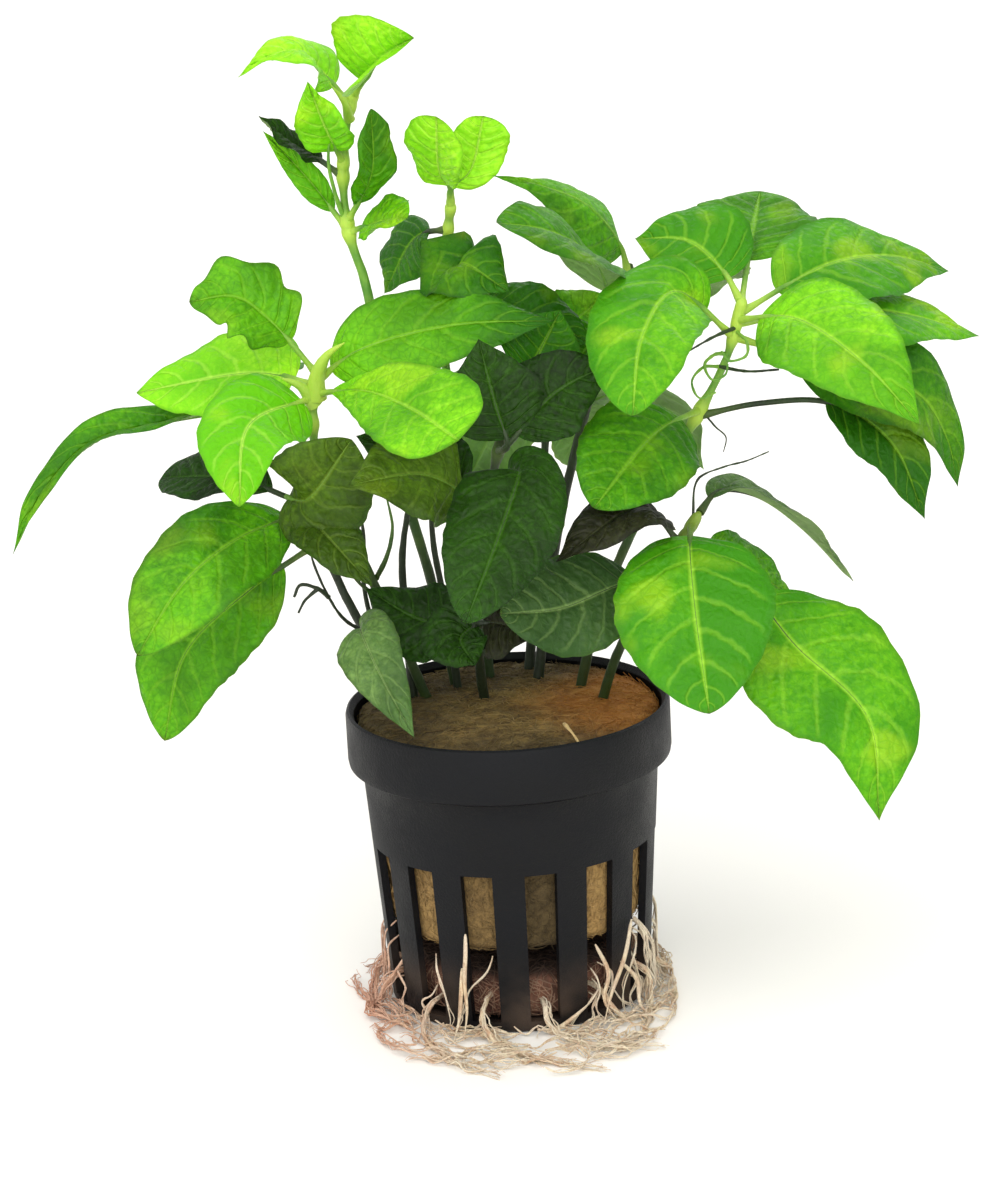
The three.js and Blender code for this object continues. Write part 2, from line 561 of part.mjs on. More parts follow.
add("net_pot", makePot(), 0x1c1d22, 0.45);
add("wool_plug", makePlug(), 0x7a5228, 0.95);
add("roots", makeRoots(), 0xcdb48c, 0.8);
for (const [name, stem] of Object.entries(stems)) {
  add("stem_" + name, makeStem(stem), tones[stem.tone], 0.5);
}
for (const name of new Set(leaves.map((leaf) => leaf.name))) {
  const blades = leaves.filter((leaf) => leaf.name === name);
  add(name, wasm.Manifold.union(blades.map(makeLeaf)), tones[blades[0].tone], 0.4);
}

export default plant;
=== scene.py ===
# Potted calico aquarium plant: leafy stems in a wool plug, in a black net pot with roots round its foot.
import math
import random

import bpy
from mathutils import Matrix, Vector


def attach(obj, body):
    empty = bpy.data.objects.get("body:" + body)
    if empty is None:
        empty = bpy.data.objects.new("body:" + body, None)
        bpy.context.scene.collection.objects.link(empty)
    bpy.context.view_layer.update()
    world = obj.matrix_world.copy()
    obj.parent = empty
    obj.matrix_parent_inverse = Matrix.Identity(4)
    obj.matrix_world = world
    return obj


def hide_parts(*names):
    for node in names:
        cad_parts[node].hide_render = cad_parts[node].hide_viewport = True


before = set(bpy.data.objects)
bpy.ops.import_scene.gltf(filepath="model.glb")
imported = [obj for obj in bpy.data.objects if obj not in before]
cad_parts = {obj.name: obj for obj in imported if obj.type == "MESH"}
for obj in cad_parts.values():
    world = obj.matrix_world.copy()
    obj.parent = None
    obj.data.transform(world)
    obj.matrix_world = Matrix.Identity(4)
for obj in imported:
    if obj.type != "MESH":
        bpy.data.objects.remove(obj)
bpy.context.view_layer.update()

mm = 0.001
print("frame loaded")


# the camera looks slightly down on the pot, and leans a little so that the plant leans left
view = {
    "eye": (-0.7, -595, 240),      # millimetres, as all the places below
    "target": (-0.7, 0, 63),
    "lean": 3,                     # degrees
    "focal": 121.9,
}


def makeCamera():
    data = bpy.data.cameras.new("camera")
    data.lens = view["focal"]
    data.clip_end = 20
    camera = bpy.data.objects.new("camera", data)
    bpy.context.scene.collection.objects.link(camera)
    aim = Vector(view["target"]) - Vector(view["eye"])
    turn = aim.to_track_quat("-Z", "Y").to_matrix().to_4x4()
    lean = Matrix.Rotation(math.radians(-view["lean"]), 4, "Z")
    camera.matrix_world = Matrix.Translation(Vector(view["eye"]) * mm) @ turn @ lean
    bpy.context.scene.camera = camera


makeCamera()


# node trees: plain arithmetic on Num adds Math nodes
class Num:
    def __init__(self, tree, socket):
        self.tree = tree
        self.socket = socket

    def __add__(self, other):
        return calc(self.tree, "ADD", self, other)

    def __radd__(self, other):
        return calc(self.tree, "ADD", other, self)

    def __sub__(self, other):
        return calc(self.tree, "SUBTRACT", self, other)

    def __rsub__(self, other):
        return calc(self.tree, "SUBTRACT", other, self)

    def __mul__(self, other):
        return calc(self.tree, "MULTIPLY", self, other)

    def __rmul__(self, other):
        return calc(self.tree, "MULTIPLY", other, self)

    def __truediv__(self, other):
        return calc(self.tree, "DIVIDE", self, other)

    def __pow__(self, other):
        return calc(self.tree, "POWER", self, other)


def wire(tree, value, socket):
    if isinstance(value, Num):
        tree.links.new(value.socket, socket)
    elif isinstance(value, bpy.types.NodeSocket):
        tree.links.new(value, socket)
    else:
        socket.default_value = value


def addNode(tree, kind, inputs=None, **settings):
    made = tree.nodes.new(kind)
    for name, value in settings.items():
        setattr(made, name, value)
    for key, value in (inputs or {}).items():
        wire(tree, value, made.inputs[key])
    return made


def outOf(tree, kind, output, inputs=None, **settings):      # one output of a new node
    return addNode(tree, kind, inputs, **settings).outputs[output]


def calc(tree, operation, *values):
    return Num(tree, outOf(tree, "ShaderNodeMath", 0, dict(enumerate(values)), operation=operation))


def blendStep(tree, value, low, high):      # 0 below low, 1 above high, smooth between
    inputs = {"Value": value, "From Min": low, "From Max": high}
    return Num(tree, outOf(tree, "ShaderNodeMapRange", "Result", inputs, interpolation_type="SMOOTHSTEP"))


def vectorCalc(tree, operation, *values):
    made = addNode(tree, "ShaderNodeVectorMath", operation=operation)
    slots = [made.inputs[0], made.inputs["Scale"]] if operation == "SCALE" else made.inputs
    for value, slot in zip(values, slots):
        wire(tree, value, slot)
    return made.outputs["Vector"]


def splitVector(tree, vector):
    made = addNode(tree, "ShaderNodeSeparateXYZ", {"Vector": vector})
    return [Num(tree, made.outputs[axis]) for axis in "XYZ"]


def joinVector(tree, x, y, z):
    return outOf(tree, "ShaderNodeCombineXYZ", "Vector", {"X": x, "Y": y, "Z": z})


def noiseAt(tree, place, scale, detail=2.0, roughness=0.5):      # scales are in repeats per metre
    inputs = {"Vector": place, "Scale": scale, "Detail": detail, "Roughness": roughness}
    return Num(tree, outOf(tree, "ShaderNodeTexNoise", "Fac", inputs))


def stretchedNoise(tree, place, scales, detail, roughness=0.5):      # another scale along x, y and z
    return noiseAt(tree, vectorCalc(tree, "MULTIPLY", place, scales), 1.0, detail, roughness)


def newTree(name, kind, wanted, given):
    tree = bpy.data.node_groups.new(name, kind)
    for label, socketKind in wanted.items():
        tree.interface.new_socket(label, in_out="INPUT", socket_type="NodeSocket" + socketKind)
    for label, socketKind in given.items():
        tree.interface.new_socket(label, in_out="OUTPUT", socket_type="NodeSocket" + socketKind)
    entry = tree.nodes.new("NodeGroupInput").outputs
    leave = tree.nodes.new("NodeGroupOutput").inputs
    return tree, entry, leave


# Geometry Nodes trees: a shape goes in and comes out, and the number inputs are ready for sums
def newShapeTree(name, numbers, others):
    wanted = {"Geometry": "Geometry", **dict.fromkeys(numbers, "Float"), **others}
    tree, entry, leave = newTree(name, "GeometryNodeTree", wanted, {"Geometry": "Geometry"})
    return tree, entry, {label: Num(tree, entry[label]) for label in numbers}, leave


def endTree(tree, leave, shape):
    real = outOf(tree, "GeometryNodeRealizeInstances", "Geometry", {"Geometry": shape})
    wire(tree, real, leave["Geometry"])
    return tree


def storeField(tree, shape, name, kind, domain, value):      # a value kept on the shape under this name
    made = addNode(tree, "GeometryNodeStoreNamedAttribute", {"Geometry": shape, "Name": name},
                   data_type=kind, domain=domain)
    wire(tree, value, made.inputs["Value"])
    return made.outputs["Geometry"]


def movedShape(tree, shape, **places):      # Offset or Position
    return outOf(tree, "GeometryNodeSetPosition", "Geometry", {"Geometry": shape, **places})


def inSkin(tree, shape, skin):
    return outOf(tree, "GeometryNodeSetMaterial", "Geometry", {"Geometry": shape, "Material": skin})


def smoothShape(tree, shape, domain="FACE", **choice):
    inputs = {"Geometry": shape, **{name.replace("_", " "): value for name, value in choice.items()}}
    return outOf(tree, "GeometryNodeSetShadeSmooth", "Geometry", inputs, domain=domain)


def joinShapes(tree, *shapes):
    made = addNode(tree, "GeometryNodeJoinGeometry")
    for shape in shapes:
        tree.links.new(shape, made.inputs["Geometry"])
    return made.outputs["Geometry"]


def curveOfEdges(tree, shape):
    return outOf(tree, "GeometryNodeMeshToCurve", "Curve", {"Mesh": shape})


def tubeAlong(tree, curve, sides, thick):      # a closed tube along a curve
    ring = outOf(tree, "GeometryNodeCurvePrimitiveCircle", "Curve", {"Resolution": sides, "Radius": 1.0})
    return outOf(tree, "GeometryNodeCurveToMesh", "Mesh",
                 {"Curve": curve, "Profile Curve": ring, "Scale": thick, "Fill Caps": True})


def tubeByRadius(tree, curve, radius, sides):
    curve = outOf(tree, "GeometryNodeSetCurveRadius", "Curve", {"Curve": curve, "Radius": radius})
    return tubeAlong(tree, curve, sides, outOf(tree, "GeometryNodeInputRadius", "Radius"))


def growMesh(tree, mesh, values):      # the tree's result on a mesh, as a plain mesh
    source = bpy.data.objects.new("source", mesh)
    bpy.context.scene.collection.objects.link(source)
    modifier = source.modifiers.new("grow", "NODES")
    modifier.node_group = tree
    for item in tree.interface.items_tree:
        if item.in_out == "INPUT" and item.name in values:
            value = values[item.name]
            modifier[item.identifier] = float(value) if item.socket_type == "NodeSocketFloat" else value
    grown = bpy.data.meshes.new_from_object(source.evaluated_get(bpy.context.evaluated_depsgraph_get()))
    bpy.data.objects.remove(source)
    return grown


def joinMeshes(name, meshes):      # one object of them all, in this order
    carriers = []
    for mesh in meshes:
        carrier = bpy.data.objects.new(name, mesh)
        bpy.context.scene.collection.objects.link(carrier)
        carriers.append(carrier)
    first = carriers[0]
    if len(carriers) > 1:
        with bpy.context.temp_override(active_object=first, selected_editable_objects=carriers):
            bpy.ops.object.join()
    first.data.name = name
    return first


def setPiece(piece, slotName, nodeName):
    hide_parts(nodeName)
    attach(piece, "root")


def meshOf(name, points, edges, faces):      # from places in millimetres
    mesh = bpy.data.meshes.new(name)
    mesh.from_pydata([tuple(Vector(point) * mm) for point in points], edges, faces)
    return mesh


def pathMesh(name, paths, fields=None):      # separate lines of points, with values on the points
    edges = []
    first = 0
    for path in paths:
        edges += [(first + i, first + i + 1) for i in range(len(path) - 1)]
        first += len(path)
    mesh = meshOf(name, [point for path in paths for point in path], edges, [])
    for field, values in (fields or {}).items():
        layer = mesh.attributes.new(field, "FLOAT", "POINT")
        layer.data.foreach_set("value", values)
    return mesh


def ringPoints(rings, around, start=0.0):      # rings are (radius, height), start is the first point's turn
    turns = [start + 2 * math.pi * i / around for i in range(around)]
    return [(radius * math.cos(turn), radius * math.sin(turn), z) for radius, z in rings for turn in turns]


def ringFaces(rings, around):      # a fan round point 0, then a strip from each ring to the next
    faces = [(0, 1 + (i + 1) % around, 1 + i) for i in range(around)]
    for ring in range(rings - 1):
        for i in range(around):
            here = 1 + ring * around + i
            beside = 1 + ring * around + (i + 1) % around
            faces.append((here, beside, beside + around, here + around))
    return faces


def smoothPath(points, stepsEach=14):      # a centripetal Catmull-Rom curve through the points
    knots = [Vector(p) for p in points]
    knots = [2 * knots[0] - knots[1]] + knots + [2 * knots[-1] - knots[-2]]
    path = []
    for a, b, c, d in zip(knots, knots[1:], knots[2:], knots[3:]):
        before, here, after = [max((q - p).length ** 0.5, 1e-4) for p, q in ((a, b), (b, c), (c, d))]
        leave = ((b - a) / before - (c - a) / (before + here) + (c - b) / here) * here
        arrive = ((c - b) / here - (d - b) / (here + after) + (d - c) / after) * here
        for i in range(stepsEach):
            t = i / stepsEach
            path.append(b + leave * t + (3 * (c - b) - 2 * leave - arrive) * t ** 2
                        + (2 * (b - c) + leave + arrive) * t ** 3)
    return path + [knots[-2]]


# materials: masks and heights come from groups, the shader stays in each material
def newMaterial(name):
    material = bpy.data.materials.new(name)
    material.use_nodes = True
    tree = material.node_tree
    return material, tree, tree.nodes["Principled BSDF"]


def useGroup(tree, group, values):
    made = addNode(tree, "ShaderNodeGroup", node_tree=group)
    for name, value in values.items():
        wire(tree, value, made.inputs[name])
    return {output.name: Num(tree, output) for output in made.outputs}


def mixColour(tree, share, first, second):      # 6, 7 and 2 are the Mix node's sockets for colour
    made = addNode(tree, "ShaderNodeMix", {"Factor": share}, data_type="RGBA")
    wire(tree, first, made.inputs[6])
    wire(tree, second, made.inputs[7])
    return made.outputs[2]


def paintOver(tree, ground, layers):      # each layer is its share and its colour, over all before it
    colour = fromHex(ground)
    for share, code in layers:
        colour = mixColour(tree, share, colour, fromHex(code))
    return colour


def bumpFrom(tree, height, distance):
    return outOf(tree, "ShaderNodeBump", "Normal", {"Height": height, "Distance": distance, "Strength": 1.0})


def setSkin(skin, values):      # constant values on the shader's own sockets
    for name, value in values.items():
        skin.inputs[name].default_value = value


def wireSkin(tree, skin, colour, roughness, height, relief):      # what changes over the surface
    wire(tree, colour, skin.inputs["Base Color"])
    wire(tree, roughness, skin.inputs["Roughness"])
    wire(tree, bumpFrom(tree, height, relief * mm), skin.inputs["Normal"])


def objectPlace(tree):
    return outOf(tree, "ShaderNodeTexCoord", "Object")


def attributeAt(tree, name):
    return Num(tree, outOf(tree, "ShaderNodeAttribute", "Fac", attribute_name=name))


def fromHex(code):      # a hex colour as linear light
    shares = [int(code[i:i + 2], 16) / 255 for i in (0, 2, 4)]
    return tuple(((s + 0.055) / 1.055) ** 2.4 if s > 0.04 else s / 12.92 for s in shares) + (1.0,)


# the speckle of light and dark that leaves, wool, roots and plastic all show at some scale
def buildGrain():
    tree, entry, leave = newTree("surfaceGrain", "ShaderNodeTree",
                                 {"Place": "Vector", "Coarse": "Float", "Fine": "Float"},
                                 {"Patches": "Float", "Speckle": "Float"})
    patches = noiseAt(tree, entry["Place"], entry["Coarse"], 3.0, 0.55)
    speckle = noiseAt(tree, entry["Place"], entry["Fine"], 4.0, 0.65)
    wire(tree, blendStep(tree, patches, 0.32, 0.68), leave["Patches"])
    wire(tree, blendStep(tree, speckle, 0.25, 0.75), leave["Speckle"])
    return tree


grain = buildGrain()


def grainAt(tree, place, coarse, fine):      # the patches and the speckle
    spots = useGroup(tree, grain, {"Place": place, "Coarse": coarse, "Fine": fine})
    return spots["Patches"], spots["Speckle"]


# the run of a leaf's side veins: a whole number on each vein, climbing from the midrib to the edge
leafVeins = {
    "count": 9,
    "lean": 1.5,
    "bend": 1.35,
    "offset": 0.35,           # the right half's veins start later than the left half's
    "wobble": 0.34,
    "wobbleScale": 420.0,     # repeats per metre
    "cells": 720.0,           # the fine net between the side veins
}


def veinRun(tree, across, share, count):
    side = calc(tree, "GREATER_THAN", across, 0.0)
    away = calc(tree, "ABSOLUTE", across)
    return share * count - away ** leafVeins["bend"] * leafVeins["lean"] + side * leafVeins["offset"]


def buildVeins():
    wanted = {"Across": "Float", "Share": "Float", "Veins": "Float", "Place": "Vector"}
    offered = dict.fromkeys(["Midrib", "Side veins", "Net", "Edge", "Tip", "Height"], "Float")
    tree, entry, leave = newTree("leafVeins", "ShaderNodeTree", wanted, offered)
    across, share, count = [Num(tree, entry[name]) for name in ("Across", "Share", "Veins")]
    away = calc(tree, "ABSOLUTE", across)
    wobble = noiseAt(tree, entry["Place"], leafVeins["wobbleScale"]) * leafVeins["wobble"]
    run = veinRun(tree, across, share, count) + (wobble - leafVeins["wobble"] / 2)
    off = calc(tree, "ABSOLUTE", calc(tree, "FRACT", run + 0.5) - 0.5)
    inside = 1.0 - blendStep(tree, away, 0.72, 0.98)
    sideVeins = (1.0 - blendStep(tree, off, 0.02, 0.13)) * inside
    midrib = 1.0 - blendStep(tree, away, 0.015, 0.07)
    cells = addNode(tree, "ShaderNodeTexVoronoi", {"Vector": entry["Place"], "Scale": leafVeins["cells"]},
                    feature="DISTANCE_TO_EDGE")
    border = Num(tree, cells.outputs["Distance"])
    pillow = blendStep(tree, border, 0.0, 0.45)
    made = {
        "Midrib": midrib,
        "Side veins": sideVeins,
        "Net": 1.0 - blendStep(tree, border, 0.0, 0.14),
        "Edge": blendStep(tree, away, 0.86, 1.0),
        "Tip": blendStep(tree, share, 0.9, 0.99),
        "Height": pillow * 0.55 - sideVeins * 0.5 - midrib * 0.7,
    }
    for name, value in made.items():
        wire(tree, value, leave[name])
    return tree


veins = buildVeins()

# dark, middle and light green of a leaf's upper side, its veins and edge, and how many yellow patches it has
leafTones = {
    "lime": dict(dark="5eb406", body="8ee014", light="bef83a", vein="d0f866", edge="4c9410", patch=0.3),
    "bright": dict(dark="368006", body="62b40a", light="9ae61c", vein="aae040", edge="2e6c0e", patch=0.25),
    "mid": dict(dark="225a04", body="449208", light="74c010", vein="8ac42c", edge="1e480a", patch=0.12),
    # the dark and brown tones are partly painted shade: they darken the leaves deep inside the plant
    "dark": dict(dark="0c1e02", body="1a3a04", light="2f5c08", vein="42701a", edge="0b1a03", patch=0.0),
    "olive": dict(dark="263a0a", body="436410", light="6c941c", vein="7c9a34", edge="1c2e0a", patch=0.1),
    "grey": dict(dark="2f4c22", body="54783c", light="84a656", vein="94b468", edge="243c18", patch=0.0),
    "brown": dict(dark="0e0f08", body="1c1e0d", light="343818", vein="3e4222", edge="0a0b05", patch=0.0),
}
# how much of each colour shows, each over those before it
leafPaint = {
    "grain": (150.0, 900.0),
    "clouds": dict(scale=62.0, low=0.4, high=0.62),
    "blotches": dict(scale=95.0, low=0.56, high=0.7),
    "patches": 0.5,
    "cloud": 0.4,
    "speckle": 0.38,
    "tint": 0.3,           # lighter and darker leaves, partly painted shade
    "shade": 1.5,          # more dark on the darkest leaves, partly painted shade
    "net": 0.24,
    "sideVeins": 0.17,
    "midrib": 0.4,
    "edge": 0.55,
    "tip": 0.6,
    "blotch": "c4e62c",
    "bloom": "a9c487",     # greyish film on the under side
    "bloomShare": 0.35,
}
leafGloss = {      # roughness, and the bump in millimetres, on the upper and the under side
    "upper": dict(rough=0.36, speckle=0.16, net=0.1, bump=0.22),
    "under": dict(rough=0.6, speckle=0.1, net=0.0, bump=-0.2),
}


def blotchesAt(tree, place, scale, low, high):
    return blendStep(tree, noiseAt(tree, place, scale, 1.0), low, high)


def leafMaterial(tone, side):
    hues = leafTones[tone]
    paint = leafPaint
    gloss = leafGloss[side]
    material, tree, skin = newMaterial("leaf_" + tone + "_" + side)
    place = objectPlace(tree)
    u, v, _ = splitVector(tree, outOf(tree, "ShaderNodeUVMap", "UV", uv_map="UVMap"))
    marks = useGroup(tree, veins, {"Across": (u - 0.5) * 2.0, "Share": v, "Veins": float(leafVeins["count"]),
                                   "Place": place})
    patches, speckle = grainAt(tree, place, *paint["grain"])
    cloud = blotchesAt(tree, place, **paint["clouds"])
    # the stored tint lightens or darkens the whole leaf, partly as painted shade
    tint = attributeAt(tree, "tint")
    lighter = (tint - 0.5) * paint["tint"]
    layers = [
        (patches * paint["patches"] + cloud * paint["cloud"] + lighter, hues["body"]),
        (speckle * paint["speckle"] * (0.4 + cloud) + lighter, hues["light"]),
        (calc(tree, "MAXIMUM", 0.5 - tint, 0.0) * paint["shade"], hues["dark"]),
        (blotchesAt(tree, place, **paint["blotches"]) * hues["patch"], paint["blotch"]),
        (marks["Net"] * paint["net"], hues["dark"]),
        (marks["Side veins"] * paint["sideVeins"] + marks["Midrib"] * paint["midrib"], hues["vein"]),
        (marks["Edge"] * paint["edge"] + marks["Tip"] * paint["tip"], hues["edge"]),
    ]
    if side == "under":
        layers.append((paint["bloomShare"] + patches * 0.1, paint["bloom"]))
    rough = gloss["rough"] + speckle * gloss["speckle"] + marks["Net"] * gloss["net"]
    colour = paintOver(tree, hues["dark"], layers)
    wireSkin(tree, skin, colour, rough, marks["Height"] + speckle * 0.15, gloss["bump"])
    setSkin(skin, {"Specular IOR Level": 0.15, "Subsurface Weight": 0.08,
                   "Subsurface Radius": (0.5, 1.0, 0.1), "Subsurface Scale": 0.6 * mm})
    return material


# stems and leaf stalks: paler and yellower at the joints, with painted shade darkening them down among the
# leaves
stalkPaint = {
    "grain": (260.0, 1500.0),
    "streaks": (2600.0, 2600.0, 160.0),      # repeats per metre along x, y and z
    "patches": 0.6,
    "streak": 0.3,
    "joint": 0.8,
    # painted shade: the stems turn dark low down among the leaves, where they lie in the plant's shade
    "paintedShade": "17240d",
    "paintedShadeShare": 0.9,
    "paintedShadeHeights": (62, 96),                # all of it below the first, none above the second
}


def stalkMaterial(name, body, light, joint):
    paint = stalkPaint
    material, tree, skin = newMaterial(name)
    place = objectPlace(tree)
    patches, speckle = grainAt(tree, place, *paint["grain"])
    streaks = stretchedNoise(tree, place, paint["streaks"], 2.0)
    low, high = [height * mm for height in paint["paintedShadeHeights"]]
    shadedLow = 1.0 - blendStep(tree, splitVector(tree, place)[2], low, high)
    colour = paintOver(tree, body, [
        (patches * paint["patches"] + streaks * paint["streak"], light),
        (attributeAt(tree, "joint") * paint["joint"], joint),
        (shadedLow * paint["paintedShadeShare"], paint["paintedShade"]),
    ])
    wireSkin(tree, skin, colour, 0.46 + speckle * 0.2, streaks + speckle * 0.3, 0.12)
    setSkin(skin, {"Subsurface Weight": 0.1, "Subsurface Scale": 0.5 * mm})
    return material


upperSkins = {tone: leafMaterial(tone, "upper") for tone in leafTones}
underSkins = {tone: leafMaterial(tone, "under") for tone in leafTones}
greenStalk = stalkMaterial("green_stalk", body="3f7d1f", light="86b53c", joint="b9d84a")
# a darker copy of the stalk colours for the stems and stalks down among the leaves, partly painted shade
darkStalk = stalkMaterial("dark_stalk", body="16240f", light="2e451a", joint="556f28")
print("leaf and stem materials made")


# the blade: two sheets that meet at the edge, set across the midrib's path, and a stalk that runs on under it
leafShape = {
    "thickness": 0.32,
    "quilt": 0.45,             # height of the cushions between the side veins
    "wave": 0.5,               # height of the waves along the edge
    "teeth": 0.014,            # how far they stand out, in half widths
    "toothStep": 1,            # side veins from tooth to tooth
    "fold": 5,                 # degrees that each half rises
    "cup": -0.12,              # rise of the edge, in half widths
    "outline": "pointed",
    "plainTint": 0.4,          # the tint of leaves whose row gives none, and how much they differ
    "tintSpread": 0.3,
    "ragged": 0.12,            # how uneven the outline is, as a share of the width, and bumps along the blade
    "bumps": 3.2,
    "lie": 0.09,               # how uneven the whole blade lies, in widths
    "waveTurns": 14.0,         # radians of wave from foot to tip
    "columns": 27,             # points across and along a blade, and how much closer they lie at the ends
    "rows": 57,
    "crowding": 0.09,
}
stalkShape = {
    "start": 0.7,              # where it leaves the stem, from the stem's middle
    "radius": 0.45,
    "overlap": 1.2,            # how much longer it is than its row says
    "end": 0.985,              # where it ends under the blade, as a share of the whole length
    "flare": 0.55,             # how much wider it is at the stem, and over what share of its length
    "flareEnd": 0.09,
    "sink": 0.85,              # how deep it lies under the blade, in its radii
    "points": 42,
    "sides": 8,
    "crisp": 70,               # degrees from which an edge stays sharp, as at the stalk's cut end
    "darkFrom": 14,            # stalks longer than this are dark
}
outlines = {      # how fast a blade widens from its foot and narrows to its tip
    "pointed": (0.65, 1.15),
    "round": (0.6, 0.75),
    "blunt": (0.8, 0.6),
    "tailed": (0.55, 1.7),
    "full": (0.42, 0.9),
    "wedge": (1.0, 0.3),
    "spoon": (0.85, 0.42),
}


def bladeReach(tree, given, across, share, run):      # half the width at each place, ragged and toothed
    peak = given["Rise"] / (given["Rise"] + given["Fall"])
    greatest = peak ** given["Rise"] * (1.0 - peak) ** given["Fall"]
    shape = share ** given["Rise"] * (1.0 - share) ** given["Fall"] / greatest
    half = calc(tree, "SIGN", across)
    uneven = noiseAt(tree, joinVector(tree, share * leafShape["bumps"], half * 2.0, given["Seed"]), 1.0, 1.0)
    uneven = 1 - leafShape["ragged"] / 2 + uneven * leafShape["ragged"]
    teeth = calc(tree, "SINE", run * (2 * math.pi) / given["Tooth Step"]) * given["Teeth"]
    return given["Width"] * 0.5 * shape * (uneven + teeth)


# cushions between the side veins with a groove over the midrib, waves at the edge and an uneven lie
def bladeRelief(tree, given, across, share, run):
    away = calc(tree, "ABSOLUTE", across)
    cushion = calc(tree, "ABSOLUTE", calc(tree, "SINE", run * math.pi)) ** 0.7
    bellied = blendStep(tree, away, 0.0, 0.22) * (1.0 - blendStep(tree, away, 0.75, 1.0) * 0.8)
    ends = blendStep(tree, share, 0.0, 0.15) * (1.0 - blendStep(tree, share, 0.8, 1.0))
    phase = share * leafShape["waveTurns"] + given["Seed"] * 2.3 + calc(tree, "SIGN", across) * 0.9
    waves = calc(tree, "SINE", phase) * away ** 3.0
    lie = noiseAt(tree, joinVector(tree, across * 1.1, share * 2.6, given["Seed"] + 7.0), 1.0, 2.0)
    relief = given["Quilt"] * cushion * bellied * ends + given["Wave"] * waves * ends
    return relief + (lie - 0.5) * given["Width"] * leafShape["lie"] * ends * away


def bladeSheets(tree, entry, given, path, foot):      # foot is where the blade begins, as a share of the path
    grid = addNode(tree, "GeometryNodeMeshGrid", {
        "Size X": 1.0, "Size Y": 1.0, "Vertices X": leafShape["columns"], "Vertices Y": leafShape["rows"]})
    # places on the blade: across from -1 to 1, share from foot to tip, closer together at both ends
    u, v, _ = splitVector(tree, grid.outputs["UV Map"])
    across = (u - 0.5) * 2.0
    away = calc(tree, "ABSOLUTE", across)
    share = v - calc(tree, "SINE", v * (2 * math.pi)) * leafShape["crowding"]
    run = veinRun(tree, across, share, given["Veins"])
    reach = bladeReach(tree, given, across, share, run)

    sample = addNode(tree, "GeometryNodeSampleCurve", {"Curves": path, "Factor": foot + share * (1.0 - foot)},
                     use_all_curves=True)
    along = sample.outputs["Tangent"]
    side = vectorCalc(tree, "NORMALIZE", vectorCalc(tree, "CROSS_PRODUCT", along, entry["Face"]))
    up = vectorCalc(tree, "CROSS_PRODUCT", side, along)
    lift = away * reach * calc(tree, "SINE", given["Fold"]) + given["Cup"] * reach * away ** 2.0
    lift = lift + bladeRelief(tree, given, across, share, run)
    flat = vectorCalc(tree, "SCALE", side, across * reach * calc(tree, "COSINE", given["Fold"]))
    base = vectorCalc(tree, "ADD", sample.outputs["Position"], flat)
    thin = (1.0 - away ** 4.0) * blendStep(tree, share, 0.0, 0.06) * (1.0 - blendStep(tree, share, 0.9, 1.0))

    plain = storeField(tree, grid.outputs["Mesh"], "UVMap", "FLOAT2", "CORNER", grid.outputs["UV Map"])
    # the tint carries painted shade as well as tone: it runs from the foot's to the tip's, and one half gets
    # the painted Side Shade
    tint = given["Tint"] + (given["Tip Tint"] - given["Tint"]) * share
    tint = tint + calc(tree, "LESS_THAN", across, 0.0) * given["Side Shade"]
    plain = storeField(tree, plain, "tint", "FLOAT", "POINT", tint)
    raised = vectorCalc(tree, "SCALE", up, lift)
    deeper = vectorCalc(tree, "SCALE", up, lift - given["Thickness"] * thin)
    upper = movedShape(tree, plain, Position=vectorCalc(tree, "ADD", base, raised))
    under = movedShape(tree, plain, Position=vectorCalc(tree, "ADD", base, deeper))
    under = outOf(tree, "GeometryNodeFlipFaces", "Mesh", {"Mesh": under})
    both = joinShapes(tree, inSkin(tree, under, entry["Under"]), inSkin(tree, upper, entry["Upper"]))
    return outOf(tree, "GeometryNodeMergeByDistance", "Geometry", {"Geometry": both, "Distance": 2e-6})


# the stalk is sunk under the blade where it runs on as the midrib
def stalkTube(tree, entry, given, path, start, foot):
    end = stalkShape["end"]
    trim = {"Curve": path, "Start": start, "End": end}
    cut = outOf(tree, "GeometryNodeTrimCurve", "Curve", trim, mode="FACTOR")
    cut = outOf(tree, "GeometryNodeResampleCurve", "Curve", {"Curve": cut, "Count": stalkShape["points"]})
    factor = Num(tree, outOf(tree, "GeometryNodeSplineParameter", "Factor"))
    onBlade = calc(tree, "MAXIMUM", (start + factor * (end - start) - foot) / (1.0 - foot), 0.0)
    flare = 1.0 + stalkShape["flare"] * (1.0 - blendStep(tree, factor, 0.0, stalkShape["flareEnd"]))
    slim = given["Stalk Radius"] * flare * (1.0 - blendStep(tree, onBlade, 0.0, 0.35) * 0.55)
    slim = slim * (1.0 - onBlade * 0.8)
    direction = outOf(tree, "GeometryNodeInputTangent", "Tangent")
    level = vectorCalc(tree, "NORMALIZE", vectorCalc(tree, "CROSS_PRODUCT", direction, entry["Face"]))
    depth = slim * blendStep(tree, onBlade, 0.0, 0.12) * stalkShape["sink"]
    down = vectorCalc(tree, "SCALE", vectorCalc(tree, "CROSS_PRODUCT", direction, level), depth)
    sunk = movedShape(tree, cut, Offset=down)
    sunk = storeField(tree, sunk, "joint", "FLOAT", "POINT", (1.0 - blendStep(tree, factor, 0.0, 0.2)) * 0.8)
    return inSkin(tree, tubeByRadius(tree, sunk, slim, stalkShape["sides"]), entry["Stalk Skin"])


